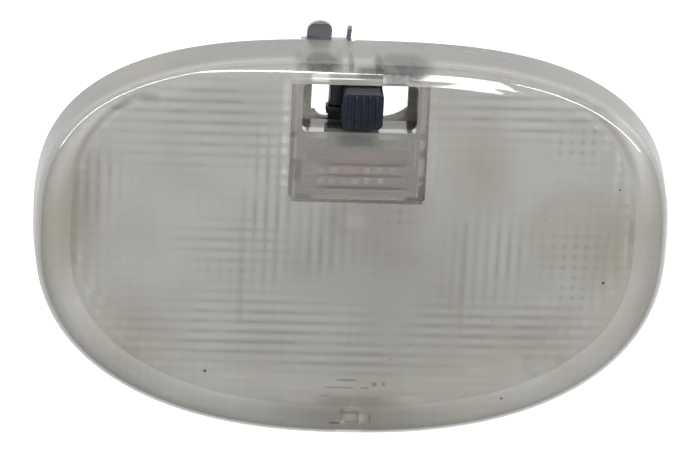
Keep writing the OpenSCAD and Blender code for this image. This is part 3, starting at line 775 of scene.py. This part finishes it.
def noise(tree, scale, detail=2.0, vector=None):
    inputs = {"Vector": vector or place(tree), "Scale": scale, "Detail": detail}
    return addNode(tree, "ShaderNodeTexNoise", inputs).outputs["Fac"]


def startGroup(name, inputs, outputs):
    group = bpy.data.node_groups.new(name, "ShaderNodeTree")
    for socket, value in inputs.items():
        kind = "NodeSocketVector" if isinstance(value, tuple) else "NodeSocketFloat"
        made = group.interface.new_socket(socket, in_out="INPUT", socket_type=kind)
        made.default_value = value
    for socket in outputs:
        group.interface.new_socket(socket, in_out="OUTPUT", socket_type="NodeSocketFloat")
    start, end = group.nodes.new("NodeGroupInput"), group.nodes.new("NodeGroupOutput")
    return group, start.outputs, end.inputs


def useGroup(tree, group, **inputs):
    made = tree.nodes.new("ShaderNodeGroup")
    made.node_tree = group
    fillAll(tree, made.inputs, inputs)
    return made.outputs


def makeGrainGroup():
    inputs = {"Scale": 900.0, "Broad": 42.0}
    group, start, end = startGroup("fineGrain", inputs, ["Height", "Variation"])
    group.links.new(noise(group, start["Scale"], 3.0), end["Height"])
    group.links.new(noise(group, start["Broad"], 2.0), end["Variation"])
    return group


def makeWearGroup():
    inputs = {"Spread": 0.06, "Chips": 700.0, "Amount": 1.0}
    group, start, end = startGroup("edgeWear", inputs, ["Mask"])
    point = addNode(group, "ShaderNodeNewGeometry").outputs["Pointiness"]
    flat = 0.5
    edge = ramp(group, point, flat, maths(group, "ADD", start["Spread"], flat), smooth=False)
    broken = ramp(group, noise(group, start["Chips"], 4.0), 0.4, 0.62)
    group.links.new(product(group, edge, broken, start["Amount"]), end["Mask"])
    return group


def makeDustGroup():
    inputs = {"Scale": 160.0, "Size": 0.1, "Patch": 55.0, "Amount": 1.0}
    group, start, end = startGroup("dustSpecks", inputs, ["Mask"])
    cells = addNode(group, "ShaderNodeTexVoronoi", {"Vector": place(group), "Scale": start["Scale"]})
    dot = maths(group, "LESS_THAN", cells.outputs["Distance"], start["Size"])
    patchy = ramp(group, noise(group, start["Patch"], 1.0), 0.5, 0.62)
    group.links.new(product(group, dot, patchy, start["Amount"]), end["Mask"])
    return group


def makeBrushedGroup():
    group, start, end = startGroup("brushedLines", {"Stretch": (60.0, 1500.0, 1500.0)}, ["Height"])
    stretched = vectorMaths(group, "MULTIPLY", place(group), start["Stretch"])[0]
    group.links.new(noise(group, 1.0, 3.0, stretched), end["Height"])
    return group


# A patch, round or with square corners, that fades out over its soft share
def makeStainGroup():
    inputs = {"Middle": (0.0, 0.0, 0.0), "Size": (0.01, 0.01, 0.01), "Soft": 0.5, "Square": 0.0}
    group, start, end = startGroup("stain", inputs, ["Mask"])
    away = vectorMaths(group, "SUBTRACT", place(group), start["Middle"])[0]
    scaled = vectorMaths(group, "DIVIDE", away, start["Size"])[0]
    length = vectorMaths(group, "LENGTH", scaled)["Value"]
    axes = axesOf(group, vectorMaths(group, "ABSOLUTE", scaled)[0])
    sides = {"Factor": start["Square"], "A": length, "B": maths(group, "MAXIMUM", axes[0], axes[1])}
    away = addNode(group, "ShaderNodeMix", sides, data_type="FLOAT").outputs["Result"]
    inner = maths(group, "SUBTRACT", 1.0, start["Soft"])
    group.links.new(ramp(group, away, inner, 1.0, 1.0, 0.0), end["Mask"])
    return group


# Painted shade lines where the pillows meet and dots at their corners, and painted highlight lines
# between them
def makePillowGroup():
    inputs = {"Pitch": lensForm["pillow"] * mm, "Width": 0.3, "Shine": 0.26, "Dot": 1.3}
    outputs = ["Columns", "Rows", "Dots", "ColumnShine", "RowShine"]
    group, start, end = startGroup("pillowLines", inputs, outputs)
    axes, away = axesOf(group, place(group)), []
    for k, name in enumerate(("Columns", "Rows")):
        count = maths(group, "DIVIDE", axes[k], start["Pitch"])
        near = maths(group, "ABSOLUTE", maths(group, "SUBTRACT", count, maths(group, "ROUND", count)))
        away.append(near)
        group.links.new(ramp(group, near, 0.0, start["Width"], 1.0, 0.0), end[name])
        group.links.new(ramp(group, near, start["Shine"], 0.5), end[name[:-1] + "Shine"])
    length = maths(group, "SQRT", maths(group, "ADD", *(product(group, near, near) for near in away)))
    wide = product(group, start["Width"], start["Dot"])
    group.links.new(ramp(group, length, 0.0, wide, 1.0, 0.0), end["Dots"])
    return group


grainGroup = makeGrainGroup()
wearGroup = makeWearGroup()
dustGroup = makeDustGroup()
brushedGroup = makeBrushedGroup()
stainGroup = makeStainGroup()
pillowGroup = makePillowGroup()
print("shader groups made")


def newMaterial(name):
    material = bpy.data.materials.new(name)
    material.use_nodes = True
    tree = material.node_tree
    shader = next(n for n in tree.nodes if n.type == "BSDF_PRINCIPLED")
    return material, tree, shader.inputs


# Soft patches: colour, middle and half size in millimetres, share; the shaded and slate ones are
# painted shade (over the middle, the rims, the foot and along the field's top-left edge), the bright
# ones painted highlights
stains = [
    ("yellowed", (-66, 8), (10, 22), 0.7), ("yellowed", (-52, -22), (18, 16), 0.5),
    ("olive", (0, -42), (34, 9), 0.9), ("yellowed", (62, 0), (14, 20), 0.5),
    ("yellowed", (30, 20), (12, 18), 0.5), ("pinkish", (6, 12), (14, 16), 0.7),
    ("pinkish", (-63, 14), (6, 16), 0.5), ("pinkish", (48, -22), (16, 10), 0.5),
    ("shaded", (4, -2), (52, 34), 0.36), ("bright", (-50, 2), (22, 30), 0.2),
    ("olive", (0, -30), (34, 14), 0.25), ("olive", (-4.4, 8.5), (5, 8), 0.45),
    ("bright", (-0.4, 7.9), (5, 3), 0.3), ("pinkish", (5.8, 7.6), (3.4, 3.2), 0.5),
    ("shaded", (-52, -34), (18, 12), 0.2), ("slate", (-56.2, 33.9), (1.8, 0.9), 0.35),
    ("slate", (-55.2, 34.4), (1.8, 0.9), 0.35), ("slate", (-54.2, 34.9), (1.8, 0.9), 0.35),
    ("slate", (-53.2, 35.4), (1.8, 0.9), 0.3), ("shaded", (-49, 36.8), (5, 2), 0.5),
    ("shaded", (71, -2), (8, 40), 0.3), ("shaded", (-71, -4), (7, 36), 0.15),
    ("shaded", (0, -45), (60, 12), 0.3), ("cream", (-44.3, -29.5), (3, 1.1), 0.6),
]
# Painted shade where the spring's foot and the connector are seen through the skirt
shadeOfShapesBehindSkirt = [
    ("slate", (-9.3, 45.5, 12), (5.4, 3, 1.7), 0.8),
    ("slate", (-14.4, 45.5, 11.6), (1.3, 3, 1.8), 0.35),
    ("slate", (-2.4, 45.6, 12), (0.9, 3, 1.6), 0.5), ("slate", (-5.2, 45.6, 11.6), (1.2, 3, 1.9), 0.25),
    ("slate", (9.7, 45.4, 12.6), (8.8, 3, 2), 0.6), ("slate", (3.9, 45.4, 11.8), (1.2, 3, 1.5), 0.5),
    ("slate", (10.5, 44.8, 13), (4.2, 3, 0.6), 0.4),
]
# Those along the top are painted shade over the window's top edge and between the spring and the
# connector; those at the foot stand for characters that aren't copied
faceMarks = [
    *shadeOfShapesBehindSkirt,
    ("slate", (2.2, 43.8), (4.4, 1.5), 0.65), ("slate", (10, 42.9), (5, 1.3), 0.45),
    ("slate", (7.9, 42.6), (3.6, 1.8), 0.7), ("shaded", (-7, 42.2), (8, 1.4), 0.3),
    ("olive", (2.2, -38.8), (8.8, 2.2), 0.7), ("cream", (-11.1, -38.3), (4.6, 1.4), 0.35),
    ("cream", (15.4, -38), (4.7, 1.5), 0.45), ("cream", (2.2, -43.1), (3.4, 1.5), 0.55),
    ("grimeAndShade", (5.9, -43), (0.3, 1.6), 0.45), ("grimeAndShade", (-0.1, -32.9), (3, 0.35), 0.5),
    ("grimeAndShade", (-1.7, -34.9), (4.3, 0.35), 0.45), ("grimeAndShade", (6.5, -33.9), (0.8, 0.7), 0.5),
    ("grimeAndShade", (8.7, -33.8), (0.5, 0.6), 0.55), ("grimeAndShade", (4.2, -34.9), (1.3, 0.4), 0.4),
    ("grimeAndShade", (-5.1, -37.1), (1.3, 0.35), 0.3), ("grimeAndShade", (-0.9, -40.9), (0.8, 0.8), 0.4),
    ("grimeAndShade", (-2.6, -44.4), (1.5, 0.45), 0.7),
]
# Marks on the panel round the window: the shaded ones are painted shade of the slider, the ribs and the
# box walls, the dark grime marks in the groove corners are painted shade too, and the bright ones are
# painted highlights between the ribs
panelMarks = [
    ("shaded", (-0.7, 27.7), (5.8, 1.7), 0.6), ("rosy", (1.1, 24.1), (5.8, 1.8), 0.5),
    ("shaded", (1.7, 22), (12.4, 0.6), 0.6), ("shaded", (1.7, 19.3), (12.2, 0.5), 0.55),
    ("shaded", (0.9, 16.3), (13.2, 0.6), 0.65), ("bright", (-8.8, 20.4), (1.2, 0.9), 0.5),
    ("bright", (-5.6, 20.4), (1.1, 0.9), 0.5), ("rosy", (-1.5, 20.5), (2.4, 0.9), 0.6),
    ("bright", (2.1, 20.6), (0.9, 0.9), 0.5), ("bright", (5, 20.7), (1, 0.9), 0.5),
    ("bright", (8.2, 20.7), (1.1, 0.9), 0.4), ("bright", (-8.6, 17.7), (1.1, 0.9), 0.5),
    ("bright", (-5.9, 17.7), (1.2, 0.9), 0.5), ("rosy", (-2.8, 17.7), (1.4, 1), 0.8),
    ("bright", (-0.6, 17.8), (1.2, 0.9), 0.7), ("bright", (2.2, 18), (0.8, 0.9), 0.8),
    ("bright", (5.4, 18), (1, 0.9), 0.7), ("grimeAndShade", (14.9, 15.2), (0.9, 2.8), 0.75),
    ("grimeAndShade", (13.6, 13.6), (3, 0.8), 0.75), ("shaded", (14.9, 24.8), (1, 1.4), 0.8),
    ("shaded", (15, 18.6), (0.9, 1.1), 0.7), ("shaded", (-14, 20.2), (1.3, 3.6), 0.5),
    ("shaded", (-12.5, 13.6), (2.6, 1.1), 0.6),
]
lensMarks = {"clearSkirt": shadeOfShapesBehindSkirt, "clearSkin": faceMarks, "clearPanel": panelMarks}

# Hazy clear plastic, yellowed and dirty with age; the skirt, panel, shaded, slate and line colours also
# serve as painted shade, bright and gleam as painted highlights
plasticLook = {
    "face": (0.82, 0.81, 0.78),
    "skirt": (0.26, 0.26, 0.25),
    "slate": (0.06, 0.065, 0.07),
    "panel": (0.72, 0.7, 0.66),
    "yellowed": (0.54, 0.5, 0.39),
    "pinkish": (0.6, 0.53, 0.5),
    "olive": (0.4, 0.385, 0.31),
    "shaded": (0.3, 0.28, 0.26),
    "cream": (0.8, 0.77, 0.66),
    "bright": (0.97, 0.96, 0.94),
    "rosy": (0.9, 0.76, 0.7),
    "line": (0.3, 0.29, 0.27),
    "gleam": (0.95, 0.95, 0.92),
    # Dark grime for dust and specks, also used as painted shade in the panel's groove corners
    "grimeAndShade": (0.12, 0.11, 0.09),
    "scuffed": (0.85, 0.85, 0.84),
    "skirtToFace": (9.0, 14.5),
    "yellowing": 0.4,
    "panelShare": 0.8,
    "gleamShare": 0.8,
    "wearSpread": 0.04,
    "dust": {"Scale": 240.0, "Size": 0.06, "Amount": 0.4},
    "coat": {"Coat Roughness": 0.05, "Coat IOR": 1.6},
    "specks": [((-33.7, -31.3), 0.5), ((59.2, -6.5), 0.45), ((61.5, 17.0), 0.3), ((37.0, -37.0), 0.35)],
    "wallLine": {
        "reach": 1.03,
        "width": 0.07,
        "dark": 0.5,
        "rise": (8.0, 26.0),
        "corner": (0.72, 0.86),
        "pale": 0.9,
        "palePlace": ((62.5, 29.0), (9.0, 10.0)),
    },
    "lineShares": {"Row": 0.9, "Column": 0.8, "Dot": 0.8},
    "lineElsewhere": 0.12,
    "rowZones": [
        ((-34, 31), (30, 15)), ((38, 35), (26, 8)), ((-29, 2), (18, 8)),
        ((-24, -20), (38, 13)), ((35, -19), (32, 11)), ((4, -28), (36, 7)),
    ],
    "columnZones": [
        ((-20, 12), (8, 28)), ((-60, 15), (7, 11)), ((31, -2), (13, 17)), ((-6, 4), (10, 13)),
    ],
    "dotZones": [
        ((-28, 0), (16, 11)), ((54, -4), (16, 16)), ((-22, 30), (12, 10)), ((51, 30), (9, 10)),
        ((-1, 0), (13, 9)), ((-4, -22), (12, 5)), ((11, 8), (6, 5)),
    ],
}


def zoneMask(tree, middle, size, soft=1.0, square=0.0):
    if len(middle) == 2:
        middle, size = (*middle, lensForm["faceZ"]), (*size, 8.0)
    inputs = {"Middle": middle, "Size": size}
    inputs = {name: tuple(v * mm for v in value) for name, value in inputs.items()}
    return useGroup(tree, stainGroup, Soft=soft, Square=square, **inputs)["Mask"]


def allZones(tree, zones):
    total, *masks = [zoneMask(tree, middle, size, 0.7) for middle, size in zones]
    for mask in masks:
        total = maths(tree, "MAXIMUM", mask, total)
    return total


def addMarks(tree, colour, marks, soft=1.0, square=0.0):
    for kind, middle, size, most in marks:
        share = product(tree, zoneMask(tree, middle, size, soft, square), most)
        colour = blendColour(tree, share, colour, plasticLook[kind])
    return colour


def agedColour(tree, broad):
    look = plasticLook
    # The skirt colour is much darker than the face, rising to it between these heights: painted shade
    # on the lens's side walls
    low, high = (height * mm for height in look["skirtToFace"])
    upwards = ramp(tree, axesOf(tree, place(tree))["Z"], low, high)
    colour = blendColour(tree, upwards, look["skirt"], look["face"])
    yellowing = ramp(tree, broad, 0.35, 0.7, 0.0, look["yellowing"])
    return addMarks(tree, blendColour(tree, yellowing, colour, look["yellowed"]), stains)


# Share of the painted shade lines and of the painted highlight lines between them
def latticeMasks(tree):
    look, lattice, patches = plasticLook, useGroup(tree, pillowGroup), noise(tree, 90.0, 2.0)
    broken = ramp(tree, patches, 0.38, 0.6, 0.35, 1.0)
    drawn = {}
    for line, most in look["lineShares"].items():
        zone = maths(tree, "MULTIPLY_ADD", allZones(tree, look[line.lower() + "Zones"]), most)
        zone.node.inputs[2].default_value = look["lineElsewhere"]
        zone = product(tree, zone, broken)
        drawn[line] = product(tree, lattice[line + "s"], zone)
        if line != "Dot":
            drawn[line + "Shine"] = product(tree, lattice[line + "Shine"], zone)
    dark = maths(tree, "MAXIMUM", maths(tree, "MAXIMUM", drawn["Row"], drawn["Column"]), drawn["Dot"])
    return dark, maths(tree, "MAXIMUM", drawn["RowShine"], drawn["ColumnShine"])


# Where the inner wall shows through the upper corners: a painted shade line, and a painted highlight
# crescent outside it
def wallShadeAndHighlight(tree, colour):
    form, seen, spot = lensForm, plasticLook["wallLine"], axesOf(tree, place(tree))
    edge, width, square = seen["reach"], seen["width"], form["fieldSquareUp"]
    wide, tall = form["halfWidth"] - form["fieldInset"], form["up"] - form["fieldUpInset"]
    across = maths(tree, "ABSOLUTE", maths(tree, "DIVIDE", spot["X"], wide * mm))
    along = maths(tree, "ABSOLUTE", maths(tree, "DIVIDE", spot["Y"], tall * mm))
    reach = maths(tree, "ADD", *(maths(tree, "POWER", share, square) for share in (across, along)))
    off = maths(tree, "ABSOLUTE", maths(tree, "SUBTRACT", reach, edge))
    upper = ramp(tree, spot["Y"], *(rise * mm for rise in seen["rise"]))
    corner = ramp(tree, across, *seen["corner"])
    line = product(tree, ramp(tree, off, 0.0, width, 1.0, 0.0), upper, corner, seen["dark"])
    colour = blendColour(tree, line, colour, plasticLook["shaded"])
    outer = ramp(tree, reach, edge + width * 0.6, edge + width * 1.6)
    pale = product(tree, zoneMask(tree, *seen["palePlace"], 0.6), outer, seen["pale"])
    return blendColour(tree, pale, colour, plasticLook["bright"])


# The lens's slots in their order: roughness, coat, share of painted pillow shade and highlight lines,
# how far it is seen through, edge wear
lensFinishes = {
    "clearSkin": (0.06, 1.0, 0.4, 0.5, 0.35),
    "clearPillows": (0.3, 0.0, 1.0, 0.55, 0.0),
    "clearInside": (0.1, 0.0, 0.0, 0.92, 0.0),
    "clearSkirt": (0.3, 0.12, 0.0, 0.18, 0.05),
    "clearPanel": (0.06, 1.0, 0.0, 0.7, 0.05),
    "clearEnds": (0.4, 0.0, 0.0, 0.25, 0.0),
    "clearRim": (0.5, 0.0, 0.0, 0.3, 0.0),
}


def lensMaterial(name, roughness, coat, lines, seeThrough, wear):
    look = plasticLook
    material, tree, shader = newMaterial(name)
    broad = useGroup(tree, grainGroup, Broad=38.0)["Variation"]
    if name == "clearEnds":
        colour = blendColour(tree, ramp(tree, broad, 0.3, 0.7), look["shaded"], look["line"])
    else:
        colour = agedColour(tree, broad)
    # The panel round the window is painted darker than the face: painted shade of the switch box behind
    # it
    if name == "clearPanel":
        colour = blendColour(tree, look["panelShare"], colour, look["panel"])
    # Painted highlight lines and painted shade lines of the pillow optics
    if lines:
        dark, pale = latticeMasks(tree)
        pale = product(tree, pale, lines * look["gleamShare"])
        colour = blendColour(tree, pale, colour, look["gleam"])
        colour = blendColour(tree, product(tree, dark, lines), colour, look["line"])
    colour = addMarks(tree, colour, lensMarks.get(name, []), 0.5, 0.8)
    if name == "clearSkin":
        colour = wallShadeAndHighlight(tree, colour)
    if coat:
        for middle, radius in look["specks"]:
            speck = zoneMask(tree, middle, (radius, radius), 0.4)
            colour = blendColour(tree, speck, colour, look["grimeAndShade"])
        worn = useGroup(tree, wearGroup, Spread=look["wearSpread"], Amount=wear)["Mask"]
        colour = blendColour(tree, worn, colour, look["scuffed"])
        dust = useGroup(tree, dustGroup, **look["dust"])["Mask"]
        colour = blendColour(tree, dust, colour, look["grimeAndShade"])
        fillAll(tree, shader, {"Coat Weight": coat, **look["coat"]})
    uneven = ramp(tree, broad, 0.3, 0.7, roughness * 0.8, roughness * 1.25)
    fillAll(tree, shader, {"Base Color": colour, "Roughness": uneven})
    fillAll(tree, shader, {"IOR": 1.49, "Transmission Weight": seeThrough})
    return material


# Look of each opaque finish: colour, roughness, metallic, worn-edge colour, brushing direction
finishes = {
    "blackPlastic": ((0.003, 0.006, 0.016), 0.36, 0.0, (0.02, 0.026, 0.045), None),
    "beigePlastic": ((0.52, 0.49, 0.45), 0.5, 0.0, (0.6, 0.57, 0.52), None),
    "brassSheet": ((0.62, 0.44, 0.2), 0.35, 1.0, None, (60.0, 1500.0, 1500.0)),
    "springSteel": ((0.46, 0.47, 0.48), 0.55, 1.0, None, (1500.0, 60.0, 1500.0)),
    "brightPan": ((0.82, 0.82, 0.81), 0.4, 1.0, None, (60.0, 1500.0, 1500.0)),
}
# What they share
opaqueLook = {
    "darker": 0.8,
    "wear": {"Spread": 0.05, "Amount": 0.8},
    "dust": {"Scale": 300.0, "Size": 0.08, "Amount": 0.3},
    "dustColour": (0.3, 0.28, 0.25),
    "bump": {"Strength": 0.25, "Distance": 0.0001},
}


def opaqueMaterial(name, colour, roughness, metallic, wornColour, brushing):
    material, tree, shader = newMaterial(name)
    grain = useGroup(tree, grainGroup, Scale=1400.0)
    darker = tuple(v * opaqueLook["darker"] for v in colour)
    made = blendColour(tree, ramp(tree, grain["Variation"], 0.35, 0.65), darker, colour)
    if wornColour:
        worn = useGroup(tree, wearGroup, **opaqueLook["wear"])["Mask"]
        made = blendColour(tree, worn, made, wornColour)
    dust = useGroup(tree, dustGroup, **opaqueLook["dust"])["Mask"]
    made = blendColour(tree, dust, made, opaqueLook["dustColour"])
    uneven = ramp(tree, grain["Variation"], 0.3, 0.7, roughness * 0.8, roughness * 1.2)
    fillAll(tree, shader, {"Base Color": made, "Roughness": uneven, "Metallic": metallic})
    height = useGroup(tree, brushedGroup, Stretch=brushing)["Height"] if brushing else grain["Height"]
    bump = addNode(tree, "ShaderNodeBump", {"Height": height, **opaqueLook["bump"]})
    fill(tree, shader["Normal"], bump.outputs[0])
    return material


def bulbGlassMaterial():
    material, tree, shader = newMaterial("bulbGlass")
    film = useGroup(tree, grainGroup, Broad=120.0)["Variation"]
    colour = blendColour(tree, film, (0.95, 0.96, 0.97), (0.82, 0.84, 0.83))
    fillAll(tree, shader, {"Base Color": colour, "Roughness": ramp(tree, film, 0.3, 0.7, 0.02, 0.06)})
    shader["Transmission Weight"].default_value = 0.97
    return material


made = {name: opaqueMaterial(name, *finish) for name, finish in finishes.items()}
slotMaterials = {
    "black_plastic": made["blackPlastic"],
    "beige_plastic": made["beigePlastic"],
    "brass": made["brassSheet"],
    "steel": made["springSteel"],
    "bright_pan": made["brightPan"],
    "bulb_glass": bulbGlassMaterial(),
}


def putOn(piece, *materials):
    piece.data.materials.clear()
    for material in materials:
        piece.data.materials.append(material)


for part in frame["record"]["subparts"]:
    if part["material_slot"] in slotMaterials:
        putOn(frame["nodes"][part["node"]], slotMaterials[part["material_slot"]])
putOn(slider, made["blackPlastic"])
putOn(pan, made["brightPan"])
slotIndex = [polygon.material_index for polygon in lens.data.polygons]
putOn(lens, *[lensMaterial(name, *finish) for name, finish in lensFinishes.items()])
lens.data.polygons.foreach_set("material_index", slotIndex)
print("materials set")

# The camera stands where the photographer did
cameraSet = {
    "tilt": 22.0,
    "yaw": 4.0,
    "roll": 2.85,
    "distance": 0.9,
    "pixelsPerMillimetre": 4.213,
    "centre": (350.0, 226.8),
    "imageSize": (700, 454),
    "sensor": 36,
}


def setStand(thing, right, up, back, spot):
    matrix = Matrix((right, up, back)).transposed().to_4x4()
    matrix.translation = spot
    thing.matrix_world = matrix


def makeCamera():
    tilt, yaw, roll = (math.radians(cameraSet[k]) for k in ("tilt", "yaw", "roll"))
    back = Vector((-math.sin(yaw) * math.cos(tilt), math.sin(tilt), math.cos(yaw) * math.cos(tilt)))
    right = Vector((0, 1, 0)).cross(back).normalized()
    up = back.cross(right)
    turnedRight = right * math.cos(roll) + up * math.sin(roll)
    turnedUp = up * math.cos(roll) - right * math.sin(roll)
    data = bpy.data.cameras.new("camera")
    camera = addObject("camera", data)
    setStand(camera, turnedRight, turnedUp, back, back * cameraSet["distance"])
    width, height = cameraSet["imageSize"]
    data.sensor_width = cameraSet["sensor"]
    pixelLength = cameraSet["pixelsPerMillimetre"] * cameraSet["distance"] / mm
    data.lens = data.sensor_width * pixelLength / width
    data.shift_x = (width / 2 - cameraSet["centre"][0]) / width
    data.shift_y = (cameraSet["centre"][1] - height / 2) / width
    bpy.context.scene.camera = camera


# Each lamp is a soft strip round the object: start, end and width in metres, and its glow
lightSet = {
    "world": 0.38,
    "strips": {
        "leftStrip": ((-1.08, 0.2, 0.05), (-0.28, 1.05, 0.12), 0.05, 14.0),
        "backStrip": ((-0.28, 1.05, 0.12), (0.07, 0.68, 0.85), 0.05, 14.0),
        "rightStrip": ((0.35, 0.8, 0.56), (0.92, 0.22, 0.46), 0.06, 12.0),
        "windowHigh": ((0.225, 0.8, 0.69), (0.198, 0.308, 1.037), 0.16, 11.0),
        "windowLow": ((0.198, 0.308, 1.037), (0.145, -0.15, 1.08), 0.055, 11.0),
        "shortStrip": ((0.055, 0.31, 1.1), (0.055, 0.18, 1.1), 0.04, 9.0),
    },
}


def makeStrip(name, start, end, width, glow):
    start, end = Vector(start), Vector(end)
    middle, length = (start + end) / 2, (end - start).length
    data = bpy.data.lights.new(name, "AREA")
    data.shape = "RECTANGLE"
    data.size = length
    data.size_y = width
    data.energy = glow * math.pi * length * width
    along = (end - start).normalized()
    back = (middle - along * middle.dot(along)).normalized()
    setStand(addObject(name, data), along, back.cross(along), back, middle)


def makeWorld():
    world = bpy.data.worlds.new("world")
    bpy.context.scene.world = world
    world.use_nodes = True
    tree = world.node_tree
    seen = addNode(tree, "ShaderNodeLightPath").outputs["Is Camera Ray"]
    levels = {"Factor": seen, "A": lightSet["world"], "B": 1.0}
    level = addNode(tree, "ShaderNodeMix", levels, data_type="FLOAT")
    background = tree.nodes["Background"]
    tree.links.new(level.outputs["Result"], background.inputs["Strength"])
    background.inputs["Color"].default_value = (1, 1, 1, 1)


# The floor lies low enough for the reflector to swing open over it; in millimetres
stageForm = {"drop": 145.0, "half": 3000.0, "grey": 0.45, "roughness": 0.9, "glow": 0.93}


def makeFloor():
    size, grey = stageForm["half"], stageForm["grey"]
    corners = [(-size, -size, 0), (size, -size, 0), (size, size, 0), (-size, size, 0)]
    floor = meshObject("floor", corners, [(0, 1, 2, 3)])
    floor.location.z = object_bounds()[0].z - stageForm["drop"] * mm
    material, tree, shader = newMaterial("floorPaper")
    paper = {"Base Color": (grey, grey, grey), "Roughness": stageForm["roughness"]}
    fillAll(tree, shader, {**paper, "Emission Color": (1.0, 1.0, 1.0)})
    path = addNode(tree, "ShaderNodeLightPath").outputs
    seen = maths(tree, "MAXIMUM", path["Is Camera Ray"], path["Is Transmission Ray"])
    seen = maths(tree, "MAXIMUM", seen, path["Is Glossy Ray"])
    fill(tree, shader["Emission Strength"], product(tree, seen, stageForm["glow"]))
    floor.data.materials.append(material)


makeCamera()
makeWorld()
makeFloor()
for name, strip in lightSet["strips"].items():
    makeStrip(name, *strip)
bpy.context.scene.view_settings.view_transform = "Standard"
print("camera and light set")
